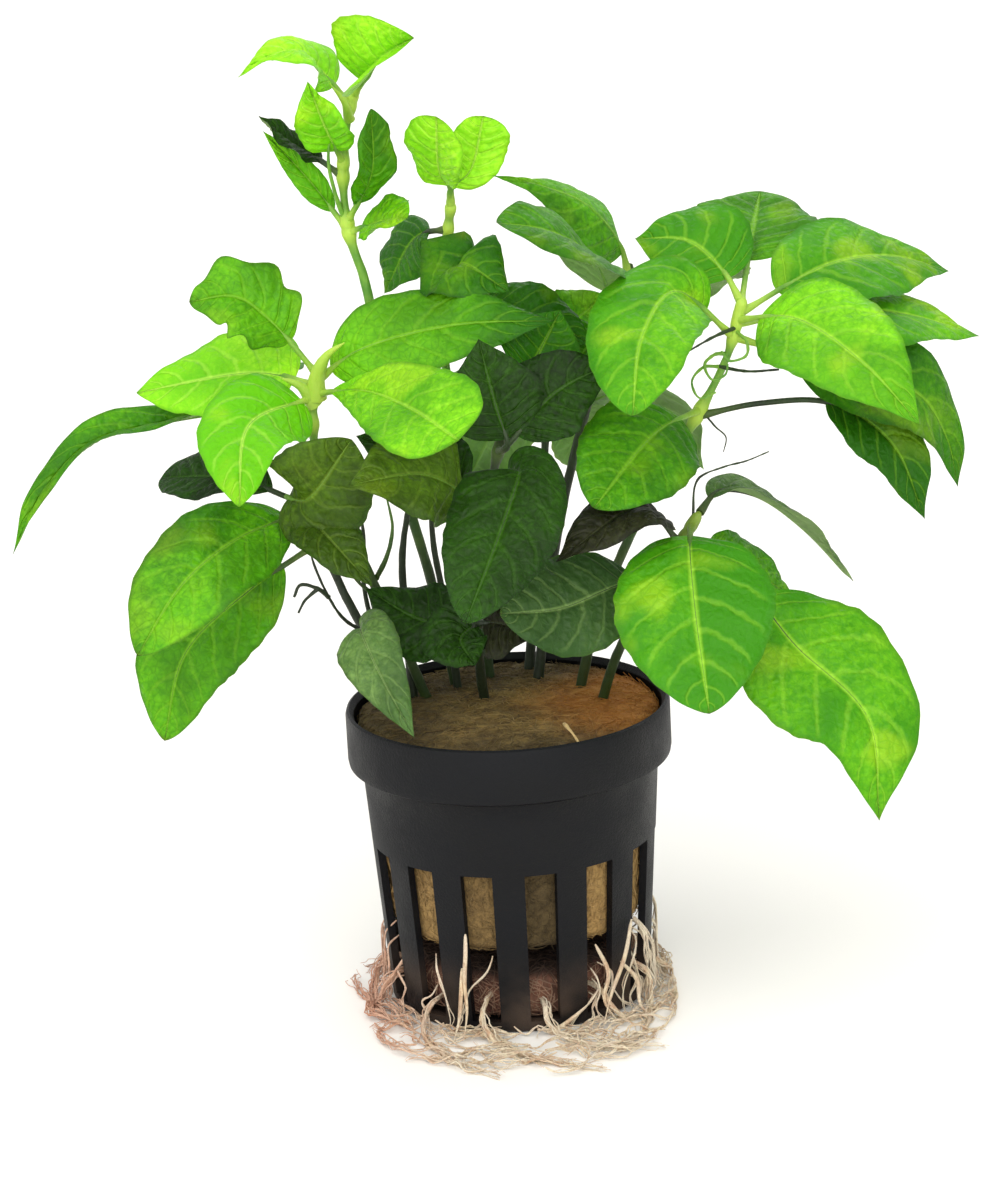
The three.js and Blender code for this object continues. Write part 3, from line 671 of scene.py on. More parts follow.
def buildLeafTree():
    numbers = ["Width", "Rise", "Fall", "Fold", "Cup", "Start", "Stalk", "Stalk Radius", "Thickness", "Quilt",
               "Wave", "Teeth", "Tooth Step", "Veins", "Seed", "Tint", "Tip Tint", "Side Shade"]
    tree, entry, given, leave = newShapeTree("leafBlade", numbers, {
        "Face": "Vector", "Upper": "Material", "Under": "Material", "Stalk Skin": "Material"})
    path = curveOfEdges(tree, entry["Geometry"])
    length = Num(tree, outOf(tree, "GeometryNodeCurveLength", "Length", {"Curve": path}))
    start = given["Start"] / length
    foot = (given["Start"] + given["Stalk"]) / length
    blade = bladeSheets(tree, entry, given, path, foot)
    whole = joinShapes(tree, stalkTube(tree, entry, given, path, start, foot), blade)
    steep = outOf(tree, "GeometryNodeInputMeshEdgeAngle", "Unsigned Angle")
    crisp = calc(tree, "GREATER_THAN", steep, math.radians(stalkShape["crisp"]))
    whole = smoothShape(tree, smoothShape(tree, whole), "EDGE", Selection=crisp, Shade_Smooth=False)
    return endTree(tree, leave, whole)


# stems, each through these points in millimetres, the first one inside the plug
stems = {
    "tall": dict(skin=greenStalk, points=[
        (-7, 11, 40), (-10, 9, 60), (-15, 6.5, 84.5), (-18, 6, 111.5),
        (-20, 6, 119.5), (-20.5, 6, 127.5), (-19.5, 6, 135.5), (-18, 6, 141.5)]),
    "heart": dict(skin=greenStalk, points=[
        (-2, 14, 40), (-4, 13, 64.5), (-6, 12.5, 89), (-7, 12.5, 103), (-6, 12.5, 113), (-4.5, 11, 123)]),
    "arch": dict(skin=darkStalk, points=[
        (4, 11, 40), (8, 13, 64), (13, 15, 83.5), (19, 17, 100.5), (22.5, 17.5, 110.5)]),
    "right_main": dict(skin=greenStalk, points=[
        (10, 7, 40), (15, 4.5, 59.5), (23, 2, 77), (30.5, 1, 89.5), (35.5, 1, 98.5), (38.5, 1, 108)]),
    "right_low": dict(skin=greenStalk, points=[(13, 2, 40), (17, -3, 54), (23, -8.5, 66.5), (30, -12, 78.5)]),
    "left_upper": dict(skin=greenStalk, points=[
        (-10.5, 6.5, 40), (-15, 3.5, 54), (-21, 0.5, 70.5), (-26.5, 0, 84.5),
        (-27, 1, 94.5), (-25.5, 2, 100)]),
    "left_low": dict(skin=darkStalk, points=[
        (-14, 3, 40), (-18, 0.5, 52), (-23, -1.5, 63.5), (-27, -2.5, 74.5), (-29, -3, 81.5)]),
    "middle": dict(skin=darkStalk, points=[
        (-3, 5, 40), (-4, -2, 56), (-3, -7.5, 74.5), (0, -8.5, 86.5), (3, -7, 97.5)]),
    "back": dict(skin=darkStalk, points=[(3, 17, 40), (5.5, 19, 60.5), (8, 23, 80.5), (9, 28, 97)]),
}


def stemPoint(name, height):
    path = smoothPath(stems[name]["points"])
    for low, high in zip(path, path[1:]):
        if high.z >= height:
            return low.lerp(high, (height - low.z) / (high.z - low.z))
    return path[-1]


def alike(shared, *rows):      # rows that have these values in common
    return [{**shared, **row} for row in rows]


# leaves: where each leaves its stem, the midrib's points up to the tip, and the way its upper side looks
# rows with the same name are blades on one forked stalk, and look is the tone of the colours where it differs
# from tone
# tints are darker towards 0 and lighter towards 1, partly the leaf's own tone and partly painted shade;
# tipTint is the tip's, and sideShade is added on one half as painted shade, and as painted light where it is
# above 0
leafRows = [
    *alike(
        dict(stem="tall"),
        dict(name="leaf_tall_top_right", height=140.5, tone="lime", tint=0.7, width=17, stalk=2,
             spine=[[-13.5, -1, 147], [-8.5, -6, 150.5]], face=[-0.78, -0.58, 0.25], fold=50, cup=0,
             outline="round"),
        dict(name="leaf_tall_top_left", height=139, tone="lime", tint=0.7, width=12, stalk=2,
             spine=[[-23, 5.5, 145], [-26, 4, 148], [-30.5, 2.5, 147.5], [-35, 0, 145]], face=[0, -0.35, 1],
             fold=15, cup=-0.2, outline="tailed"),
        dict(name="leaf_tall_inner_left", height=130.5, tone="lime", tint=0.45, width=9, stalk=1,
             spine=[[-22.5, 1, 137], [-24.5, -3, 144.5]], face=[-0.3, -0.9, 0.2], fold=15, cup=0),
        dict(name="leaf_tall_side_left", height=128.5, tone="dark", width=6.5, stalk=2,
             spine=[[-25, 6.5, 132], [-28.5, 6, 134.5], [-32.5, 5, 138.5]], face=[0.2, -0.4, 0.9], fold=10,
             cup=0),
        dict(name="leaf_tall_low_left", height=120, tone="bright", width=4.5, stalk=2,
             spine=[[-25.5, 6.5, 128], [-32, 6, 136]], face=[-0.4, -0.6, 0.6], fold=10, cup=0),
        dict(name="leaf_tall_side_right", height=121.5, tone="mid", width=8, stalk=2.5,
             spine=[[-16, 0, 130], [-15.5, -3, 140]], face=[0.6, -0.75, 0.2], fold=10, cup=0,
             outline="round"),
        dict(name="leaf_tall_low_right", height=120, tone="bright", width=9, stalk=1,
             spine=[[-15, 0.5, 122.5], [-11, -6, 124]], face=[0, -0.7, 0.7], fold=10, cup=0,
             outline="round"),
    ),
    *alike(
        dict(stem="heart"),
        *alike(
            dict(name="leaf_pair_heart", height=122, tone="lime", tint=0.75, stalk=2, fork=[-4.5, 9.5, 125],
                 fold=10, cup=0, outline="spoon"),
            dict(width=9.8, spine=[[-6, 5, 128.5], [-6, -1, 138]], face=[-0.4, -0.9, 0.2]),
            dict(width=9.4, spine=[[-1.5, 10, 127.5], [1, 9, 136]], face=[0.3, -0.9, 0.2]),
        ),
        dict(name="leaf_heart_drooping", height=118.5, tone="dark", look="mid", tint=0.1, width=16, stalk=1,
             spine=[[-10, 12.5, 117.5], [-15.5, 12, 109]], face=[-0.3, -0.3, 0.9], fold=10, cup=-0.2),
        *alike(
            dict(name="leaf_pair_heart_low", height=108.5, tone="dark", look="mid", tint=0.2,
                 fork=[-4.5, 9.5, 109]),
            dict(width=15, stalk=4, spine=[[-3.5, 3, 115], [3.5, -1, 111]], face=[0.1, -0.7, 0.7]),
            dict(width=12, stalk=6, spine=[[2, 9.5, 106.5], [11, 7, 103.5], [15.5, 5, 101]],
                 face=[0.1, -0.75, 0.65]),
        ),
    ),
    *alike(
        dict(stem="arch"),
        dict(name="leaf_arch_upper", height=109, tone="mid", tint=0.6, width=17, stalk=2,
             spine=[[20.5, 15, 115], [16, 13, 121], [9.5, 11, 124.5], [1.5, 9, 127]],
             face=[0.25, -0.45, 0.85], fold=-22, cup=0, outline="tailed"),
        dict(name="leaf_arch_lower", height=103, tone="mid", tint=0.6, width=17.5, stalk=5,
             spine=[[16, 1.5, 115.5], [9.5, -5.5, 121], [2, -10, 123.5]], face=[0, -0.5, 0.85], fold=10,
             outline="round"),
        *alike(
            dict(name="leaf_pair_arch_inner", height=102, stalk=4, fork=[19, 13, 101.5]),
            dict(tone="dark", width=10, spine=[[21, 8.5, 101.5], [20, 4, 92.5]], face=[0.1, -0.8, 0.5]),
            dict(tone="mid", width=12, spine=[[14.5, 7.5, 99.5], [10, 2, 92]], face=[-0.1, -0.8, 0.5]),
        ),
    ),
    *alike(
        dict(stem="right_main"),
        *alike(
            dict(name="leaf_pair_right_top", height=107, tint=0.1, fork=[36, 5, 111]),
            dict(tone="bright", width=19, stalk=3, spine=[[31, 8, 115.5], [23, 12, 115.5]],
                 face=[0, -0.6, 0.8]),
            dict(tone="mid", width=13, stalk=6, spine=[[34, 17, 108.5], [33.5, 31, 101]],
                 face=[0, 0.5, 0.8]),
        ),
        dict(name="leaf_right_top_back", height=106.5, tone="mid", width=20, stalk=9,
             spine=[[41, 16, 114], [43.5, 29, 118.5]], face=[0, -0.5, 0.85], fold=10, outline="round"),
        dict(name="leaf_right_far_upper", height=105.5, tone="bright", tint=0.2, width=18.5, stalk=5,
             spine=[[52, 7.5, 111], [62.5, 15.5, 110], [72, 23, 105.5]], face=[0.1, -0.55, 0.8]),
        dict(name="leaf_right_far_middle", height=104, tone="bright", tint=0.35, width=18, stalk=5,
             spine=[[53, 3, 105], [65, 8.5, 102], [75.5, 14, 97]], face=[0, -0.4, 0.9]),
        dict(name="leaf_right_big", height=104.5, tone="bright", tint=0.7, width=19, stalk=3,
             spine=[[45.5, -8.5, 106.5], [54.5, -19, 101.5], [61.5, -27, 94]], face=[0.1, -0.75, 0.65]),
        dict(name="leaf_right_curled", height=102, tone="mid", tint=0.2, width=16.5, stalk=8,
             spine=[[54, -3, 96.5], [64, -2, 92.5], [68.5, 0, 84.5], [70, 0, 77]], face=[0.5, -0.65, 0.55],
             fold=10),
        dict(name="leaf_right_long_stalk", height=90, tone="mid", tint=-0.1, width=12, stalk=18,
             spine=[[40.5, -1, 92], [51, -3.5, 92], [59.5, -6, 86], [64, -8, 74.5]], face=[0.2, -0.7, 0.7],
             fold=10),
        dict(name="leaf_right_front", height=102, tone="bright", tint=0.32, width=17.5, stalk=5,
             spine=[[28, -6, 111], [22.5, -16, 107], [20, -29, 98]], face=[-0.2, -0.8, 0.6],
             outline="round"),
        dict(name="leaf_right_front_low", height=91, tone="mid", tint=0.32, width=18, stalk=4,
             spine=[[24, -10, 90.5], [14, -23, 83]], face=[-0.1, -0.85, 0.5], outline="round"),
    ),
    *alike(
        dict(stem="right_low"),
        dict(name="leaf_right_edge_on", height=78, tone="grey", width=9, stalk=2,
             spine=[[33.5, -7, 80.5], [39.5, -3, 78], [46.5, 1, 71.5], [54.5, 6, 61]], face=[0.3, 0, 0.95],
             fold=15, cup=0),
        dict(name="leaf_right_round", height=76.5, tone="bright", tint=0.18, sideShade=-0.7, width=23.5,
             stalk=3, spine=[[28, -19.5, 75.5], [28, -28.5, 68], [29, -38, 55.5]], face=[-0.05, -0.85, 0.5],
             outline="round"),
        dict(name="leaf_right_far_low", height=74.5, tone="bright", tint=0.24, width=23, stalk=12,
             spine=[[36.5, -15, 67.5], [43, -19.5, 59.5], [53, -25.5, 49.5], [54, -29, 34.5]],
             face=[0.25, -0.8, 0.5]),
        dict(name="leaf_right_low_back", height=74.5, tone="mid", width=10, stalk=4,
             spine=[[36, -3, 68], [46, 7, 58]], face=[0.2, -0.7, 0.6]),
        dict(name="leaf_right_under", height=73.5, tone="brown", width=12, stalk=3,
             spine=[[21, -18, 81.5], [8, -26, 76]], face=[0, -0.4, 0.9], fold=10),
    ),
    *alike(
        dict(stem="left_upper"),
        dict(name="leaf_left_up", height=99, tone="mid", tint=0.9, width=13.5, stalk=5,
             spine=[[-32.5, 1.5, 108], [-37.5, 1.5, 112], [-44.5, 2, 111.5]], face=[0.2, -0.7, 0.6],
             fold=10, cup=0, outline="round", teeth=0.13, toothStep=2.4),
        *alike(
            dict(name="leaf_pair_left_level", height=97.5, fork=[-30.5, 2.5, 99]),
            dict(tone="lime", width=18, stalk=1.5, spine=[[-36.5, 4.5, 99.5], [-54, 8, 96.5]],
                 face=[0, -0.6, 0.8], outline="full"),
            dict(tone="mid", width=14, stalk=6, spine=[[-35, 12, 98], [-39, 26, 90]],
                 face=[-0.2, 0.5, 0.8]),
        ),
        dict(name="leaf_left_hanging", height=96, tone="lime", tint=-0.1, width=15.5, stalk=0.5,
             spine=[[-36, -9.5, 95], [-37.5, -25, 86.5]], face=[-0.1, -0.8, 0.6], outline="full"),
        dict(name="leaf_left_hook", height=92, tone="mid", width=7.5, stalk=14,
             spine=[[-39.5, 10, 92.5], [-51.5, 10, 91], [-61.5, 6, 89.5], [-69, 2, 83], [-74, 0, 74]],
             face=[-0.1, -0.35, 0.95], fold=25, cup=0),
        dict(name="leaf_left_fold", height=96.5, tone="bright", tint=0.6, width=16.5, stalk=2,
             spine=[[-19, -8.5, 99], [-11.5, -20, 98.5], [-5, -30, 96]], face=[0, -0.8, 0.6], fold=10,
             cup=0, outline="wedge"),
        dict(name="leaf_left_crossing", height=98.5, tone="bright", look="mid", tint=1.9, tipTint=0.0,
             width=15, stalk=1, spine=[[-19.5, -1.5, 103.5], [-5.5, -3.5, 107], [10, -6, 107.5]],
             face=[0, -0.75, 0.65]),
    ),
    *alike(
        dict(stem="left_low"),
        dict(name="leaf_left_low_upper", height=79.5, tone="mid", tint=0.5, sideShade=0.35, width=17,
             stalk=2, spine=[[-39, -11.5, 78], [-47, -18.5, 73.5], [-54, -24, 64.5]],
             face=[-0.1, -0.75, 0.65], outline="round"),
        dict(name="leaf_left_low_lower", height=74.5, tone="mid", tint=0.8, width=17, stalk=5,
             spine=[[-38.5, -2, 67], [-48.5, -4.5, 58.5], [-52.5, -7, 45.5]], face=[-0.2, -0.8, 0.5],
             outline="round"),
        dict(name="leaf_left_low_inner", height=76.5, tone="dark", look="olive", tint=0.5, width=10,
             stalk=3, spine=[[-26.5, -12, 79], [-19, -20, 72]], face=[0.1, -0.6, 0.7], fold=10),
        *alike(
            dict(name="leaf_pair_left_low", height=80.5, fork=[-31.5, -5.5, 82.5], fold=10, cup=0),
            dict(tone="olive", width=17, stalk=4, spine=[[-28, -11, 83.5], [-21, -12, 92.5]],
                 face=[0.2, -0.9, 0.2], outline="round"),
            dict(tone="dark", width=11, stalk=5, spine=[[-39, 1, 84], [-51.5, 12, 82]], face=[0, -0.6, 0.7],
                 outline="blunt"),
        ),
        dict(name="leaf_rim_drape", height=57, tone="grey", width=10, stalk=6,
             spine=[[-21.5, -11.5, 63], [-19, -19.5, 59], [-14, -25.5, 50]], face=[-0.2, -0.85, 0.45]),
    ),
    *alike(
        dict(stem="middle"),
        dict(name="leaf_middle_front", height=77.5, tone="dark", tint=0.85, width=17, stalk=9,
             spine=[[3.5, -18, 88], [0, -28, 81], [-5.5, -38, 71]], face=[0, -0.75, 0.65], outline="round"),
        *alike(
            dict(name="leaf_pair_middle_upper", height=88.5, tone="dark", fork=[2, -12.5, 90.5],
                 face=[0, -0.8, 0.6], cup=0),
            dict(width=14, stalk=5, spine=[[9.5, -10, 97.5], [18.5, -9, 101.5]]),
            dict(width=15, stalk=4, spine=[[0.5, -11.5, 96.5], [-1.5, -9, 106]]),
        ),
        *alike(
            dict(name="leaf_pair_middle_left", height=82.5, stalk=5, fork=[-4, -13.5, 83.5]),
            dict(tone="olive", width=17, spine=[[-10.5, -17.5, 88], [-21.5, -23, 88.5]],
                 face=[0, -0.7, 0.7]),
            dict(tone="dark", width=13, spine=[[-11, -10, 88.5], [-20.5, -8, 92]], face=[0, -0.8, 0.6]),
        ),
        dict(name="leaf_middle_right", height=96.5, tone="dark", look="mid", tint=0.2, width=15, stalk=2,
             spine=[[7, -3, 101.5], [11, -1, 108]], face=[0.2, -0.9, 0.2], cup=0),
    ),
    *alike(
        dict(stem="right_low"),
        dict(name="leaf_middle_skirt", height=69.5, tone="grey", tint=0.05, width=16, stalk=4,
             spine=[[16.5, -15, 68.5], [8.5, -19.5, 67], [-0.5, -24, 68]], face=[0, -0.85, 0.5],
             outline="round"),
    ),
    *alike(
        dict(stem="middle"),
        # dark leaves low over the plug, partly painted shade for the dark mass there
        *alike(
            dict(name="leaf_pair_low_dark", height=62, fork=[-4, -13.5, 63.5], face=[0, -0.8, 0.6]),
            dict(tone="dark", width=13, stalk=9, spine=[[-12, -10.5, 63.5], [-20.5, -5.5, 67.5]]),
            dict(tone="brown", width=12, stalk=9, spine=[[-1.5, -15, 64], [5, -19, 63]]),
            dict(tone="dark", width=12, stalk=8, spine=[[-6.5, -16, 62], [-4.5, -20, 59]]),
        ),
    ),
    *alike(
        dict(stem="back"),
        *alike(
            dict(name="leaf_pair_back_high", height=96, tone="mid", stalk=3, fork=[9, 29.5, 99]),
            dict(width=16, spine=[[5, 35, 99], [-3.5, 44, 91.5]], face=[0, 0.5, 0.85]),
            dict(width=11, spine=[[12, 28, 99], [19, 31, 103]], face=[0.2, -0.8, 0.4]),
        ),
        *alike(
            dict(name="leaf_pair_back_left", height=87, tone="mid", stalk=5, fork=[6, 30, 88]),
            dict(width=15, spine=[[0, 33, 91], [-14, 38, 85]], face=[-0.2, 0.4, 0.85]),
            dict(width=16, spine=[[1, 32.5, 83], [-6, 35, 70]], face=[-0.2, 0.9, 0.4]),
        ),
        *alike(
            dict(name="leaf_pair_back_right", height=84, tone="mid", stalk=5, fork=[12, 28, 85.5]),
            dict(width=17, spine=[[23.5, 31, 87], [33.5, 35, 72.5]], face=[0.2, 0.4, 0.85]),
            dict(width=15, spine=[[16, 31, 80], [20, 35, 68]], face=[0.2, 0.9, 0.4]),
        ),
        dict(name="leaf_back_low", height=68, tone="mid", width=13, stalk=3,
             spine=[[0.5, 27, 73], [-9, 34, 73]], face=[-0.2, 0.6, 0.75]),
    ),
]


def bladeMesh(tree, row, seed):
    traits = {**leafShape, **row}
    foot = stemPoint(row["stem"], row["height"])
    fork = [row["fork"]] if "fork" in row else []
    path = smoothPath([foot] + fork + row["spine"])
    rise, fall = outlines[traits["outline"]]
    tint = row.get("tint", leafShape["plainTint"] + leafShape["tintSpread"] * (seed * 7.31 % 1))
    look = row.get("look", row["tone"])
    dark = row["tone"] in ("dark", "brown", "grey") or row["stalk"] > stalkShape["darkFrom"]
    return growMesh(tree, pathMesh("midrib", [path]), {
        "Width": row["width"] * mm, "Rise": rise, "Fall": fall,
        "Fold": math.radians(traits["fold"]), "Cup": traits["cup"],
        "Start": stalkShape["start"] * mm, "Stalk": (row["stalk"] + stalkShape["overlap"]) * mm,
        "Face": [float(share) for share in row["face"]],
        "Stalk Radius": stalkShape["radius"] * mm, "Thickness": leafShape["thickness"] * mm,
        "Quilt": leafShape["quilt"] * mm, "Wave": leafShape["wave"] * mm, "Veins": leafVeins["count"],
        "Teeth": traits["teeth"], "Tooth Step": traits["toothStep"], "Seed": seed,
        "Tint": tint, "Tip Tint": row.get("tipTint", tint), "Side Shade": row.get("sideShade", 0),
        "Upper": upperSkins[look], "Under": underSkins[look], "Stalk Skin": darkStalk if dark else greenStalk,
    })


def makeLeaves():
    tree = buildLeafTree()
    blades = {}
    for seed, row in enumerate(leafRows, 1):
        blades.setdefault(row["name"], []).append((row["tone"], bladeMesh(tree, row, seed)))
    for name, made in blades.items():
        piece = joinMeshes(name + "_look", [mesh for _, mesh in made])
        setPiece(piece, "leaf_" + made[0][0], name)
    return len(blades)


print("leaves made:", makeLeaves())


stemShape = {
    "foot": 0.85,        # radius at the plug and at the top
    "top": 0.5,
    "swelling": 0.8,     # extra share of the radius at a joint, and half its length
    "jointHalf": 1.5,
    "blunt": 2.5,        # steps of the path over which the top narrows, and by how much
    "blunting": 0.65,
    "sides": 12,
    "ridge": 0.25,       # height of the ridges
}


def buildStemTree():
    tree, entry, given, leave = newShapeTree("stemShaft", ["Ridge"], {"Sides": "Int", "Skin": "Material"})
    thick = outOf(tree, "GeometryNodeInputNamedAttribute", "Attribute", {"Name": "thick"}, data_type="FLOAT")
    shaft = tubeAlong(tree, curveOfEdges(tree, entry["Geometry"]), entry["Sides"], thick)
    place = outOf(tree, "GeometryNodeInputPosition", "Position")
    rough = noiseAt(tree, vectorCalc(tree, "MULTIPLY", place, (1.0, 1.0, 0.3)), 900.0, 1.0)
    normal = outOf(tree, "GeometryNodeInputNormal", "Normal")
    bulge = vectorCalc(tree, "SCALE", normal, (rough - 0.5) * given["Ridge"])
    shaft = smoothShape(tree, movedShape(tree, shaft, Offset=bulge))
    return endTree(tree, leave, inSkin(tree, shaft, entry["Skin"]))


shaftTree = buildStemTree()


def shaftMesh(path, thick, joint, skin):
    mesh = pathMesh("shaft", [path], {"thick": thick, "joint": joint})
    ridge = stemShape["ridge"] * mm
    return growMesh(shaftTree, mesh, {"Sides": stemShape["sides"], "Ridge": ridge, "Skin": skin})


# twigs, tendrils and young buds that are too fine to stand as stems of their own, by the stem they lie on
# taper is the share of the radius that is lost towards the end, and joint how pale they are
twigs = {
    "right_main": [
        dict(skin=darkStalk, radius=0.35, points=[(37.5, 1, 103.5), (33.5, -3, 103), (29.5, -7, 102)]),
        dict(skin=greenStalk, radius=0.3, points=[
            (35.5, 1, 99.5), (33.5, -2, 100), (32, -4, 99), (33, -5, 97), (35, -4.5, 97.5), (35.5, -4, 99)]),
        dict(skin=greenStalk, radius=0.28, points=[
            (34.5, 1, 97.5), (32, -1, 98), (30, -4, 96.5), (31, -6, 94.5), (33.5, -5, 95)]),
        dict(skin=greenStalk, radius=0.3, points=[
            (37, 1, 103), (38.5, -3, 102), (38, -6, 100.5), (35.5, -6, 100), (34.5, -6, 101.5)]),
        dict(skin=darkStalk, radius=0.32, points=[(34.5, 1, 97.5), (38.5, -3, 97.5), (43, -5, 98)]),
        dict(skin=darkStalk, radius=0.2, points=[
            (31.5, 1, 91), (33.5, 0, 88.5), (35, -1, 87), (34.5, -2, 85)]),
    ],
    "right_low": [
        dict(skin=darkStalk, radius=0.2, points=[
            (29, -11.5, 77.5), (30, -10, 83), (34, -9, 84.5), (37.5, -8, 85), (41, -7, 86)]),
    ],
    "left_low": [
        dict(skin=darkStalk, radius=0.32, points=[
            (-21, -2, 59.5), (-24, -6, 63), (-26, -9, 67.5), (-28, -11, 74), (-28.5, -12, 78)]),
        dict(skin=darkStalk, radius=0.4, points=[
            (-26, -9, 67.5), (-27.5, -11, 69.5), (-30, -12, 70.5), (-31, -13, 69)]),
        dict(skin=darkStalk, radius=0.35, points=[(-27.5, -11, 69.5), (-29.5, -12, 68), (-30.5, -13, 66.5)]),
        dict(skin=darkStalk, radius=0.5, points=[
            (-16.5, 1, 48), (-19.5, 2, 57), (-21, 2, 66), (-20.5, 1, 74), (-21.5, 0, 82)]),
    ],
    "tall": [
        dict(skin=darkStalk, radius=0.8, points=[
            (-14.5, 6, 46), (-15, 6, 60), (-15, 6, 68.5), (-14, 5, 75), (-12.5, 4, 81.5)]),
        dict(skin=darkStalk, radius=0.65, points=[
            (-7.5, 8, 46), (-8.7, 7, 60), (-10, 6, 70), (-10, 5, 80), (-9, 4, 88)]),
        dict(skin=greenStalk, radius=0.4, points=[
            (-20.5, 6, 121.5), (-21.8, 4.5, 126.5), (-22.4, 3.5, 131.5), (-21.6, 2.5, 137)]),
        dict(skin=greenStalk, radius=0.9, taper=0.9, joint=0.8, points=[      # a bud
            (-19, 6, 137), (-19.5, 4, 140), (-21.5, 3, 143)]),
    ],
    "left_upper": [
        dict(skin=greenStalk, radius=0.45, points=[
            (-19, 1.5, 67), (-17, -1, 71.5), (-16, -2, 76), (-16.5, -3, 80.5)]),
        dict(skin=greenStalk, radius=0.45, points=[
            (-15.5, 2.5, 58.5), (-18, 0, 63.5), (-22, -2, 68), (-24.5, -3, 73.5)]),
        # two buds
        dict(skin=greenStalk, radius=1.7, taper=0.93, joint=0.9, points=[
            (-26.4, 1, 96), (-26, 0, 99.5), (-24.2, -1.5, 103), (-21.5, -2.5, 105)]),
        dict(skin=greenStalk, radius=1.4, taper=0.93, joint=0.7, points=[
            (-26.6, 1, 95), (-28.5, 0, 98), (-31.5, -1, 99.8)]),
    ],
}


def taperedShaft(points, stepsEach, radius, taper, joint, skin):
    path = smoothPath(points, stepsEach)
    taper = taper / (len(path) - 1)
    thin = [radius * (1 - taper * i) * mm for i in range(len(path))]
    return shaftMesh(path, thin, [joint] * len(path), skin)


def stemMesh(name):
    shape = stemShape
    path = smoothPath(stems[name]["points"], 24)
    last = len(path) - 1
    joints = sorted({row["height"] for row in leafRows if row["stem"] == name})
    thick = []
    joint = []
    for i, point in enumerate(path):
        radius = shape["foot"] + (shape["top"] - shape["foot"]) * (i / last)
        near = max(math.exp(-((point.z - height) / shape["jointHalf"]) ** 2) for height in joints)
        end = max(0.0, 1 - (last - i) / shape["blunt"])
        thick.append(radius * (1 + shape["swelling"] * near) * (1 - shape["blunting"] * end ** 2) * mm)
        joint.append(near)
    return shaftMesh(path, thick, joint, stems[name]["skin"])


def makeStems():
    for name in stems:
        parts = [stemMesh(name)]
        for twig in twigs.get(name, []):
            parts.append(taperedShaft(twig["points"], 8, twig["radius"], twig.get("taper", 0.6),
                                      twig.get("joint", 0.0), twig["skin"]))
        setPiece(joinMeshes("stem_" + name + "_look", parts), "stem_green", "stem_" + name)
    print("stems made:", len(stems))


makeStems()


# the net pot: one wall sheet with its openings cut by the tree, then given its thickness
pot = {
    "height": 47,
    "shoulder": 38,              # height where the wall steps out to the band
    "bandRadius": 25,
    "shoulderRadius": 22.9,
    "footRadius": 20.2,
    "corner": (0.45, 0.05),      # the floor's edge, in from the foot and up from the ground
    "wall": 1.2,
    "bevel": 0.25,
    "slots": 14,
    "slotTurn": -80.5,           # degrees
    "slotShare": 0.5,
    "slotBottom": 1.8,
    "slotTop": 26,
    "baseSlots": 7,
    "baseShare": 0.19,
    "baseInner": 8,
    "baseOuter": 15.5,
    # rings of points: radii on the floor, heights on the wall, and places in from the band's radius with
    # their height from the shoulder and from the rim
    "floorRings": (2, 5, 10, 12.5, 17.4),
    "wallRings": (30, 34, 37.4),
    "ledge": ((0.9, 0.05), (0.15, 0.5), (0, 1.3), (0, 4)),
    "rim": ((0, -0.9), (0.2, -0.25), (0.6, 0)),
    "columns": 16,               # columns of faces for each slot and its rib
}


potPaint = {
    "grain": (90.0, 2600.0),
    "dark": "050609",
    "light": "0c0e13",
    "dust": "6a5646",            # in the patches near the ground, all of it below the first height
    "dustHeights": (2, 14),
    "dustShare": 0.35,
}


def potMaterial():
    material, tree, skin = newMaterial("black_plastic")
    place = objectPlace(tree)
    patches, speckle = grainAt(tree, place, *potPaint["grain"])
    low, high = [height * mm for height in potPaint["dustHeights"]]
    near = 1.0 - blendStep(tree, splitVector(tree, place)[2], low, high)
    colour = paintOver(tree, potPaint["dark"], [
        (patches * 0.5 + speckle * 0.2, potPaint["light"]),
        (near * patches * potPaint["dustShare"], potPaint["dust"]),
    ])
    wireSkin(tree, skin, colour, 0.38 + patches * 0.16 + speckle * 0.08, speckle + patches * 1.5, 0.05)
    setSkin(skin, {"Specular IOR Level": 0.2})
    return material


def wallRadius(z):
    return pot["footRadius"] + (pot["shoulderRadius"] - pot["footRadius"]) * z / pot["shoulder"]


def potWall():      # a full sheet from the middle of the floor to the rim
    inward, up = pot["corner"]
    rings = [(radius, 0) for radius in sorted((*pot["floorRings"], pot["baseInner"], pot["baseOuter"]))]
    rings.append((pot["footRadius"] - inward, up))
    slotHeights = [pot["slotBottom"] + (pot["slotTop"] - pot["slotBottom"]) * i / 8 for i in range(9)]
    rings += [(wallRadius(z), z) for z in (0.5, *slotHeights, *pot["wallRings"])]
    rings.append((pot["shoulderRadius"] + 0.25, pot["shoulder"] - 0.15))
    rings += [(pot["bandRadius"] - inward, pot["shoulder"] + up) for inward, up in pot["ledge"]]
    rings += [(pot["bandRadius"] - inward, pot["height"] + up) for inward, up in pot["rim"]]
    around = pot["slots"] * pot["columns"]
    points = [(0, 0, 0)] + ringPoints(rings, around, math.radians(pot["slotTurn"]))
    return meshOf("pot_wall", points, [], ringFaces(len(rings), around))


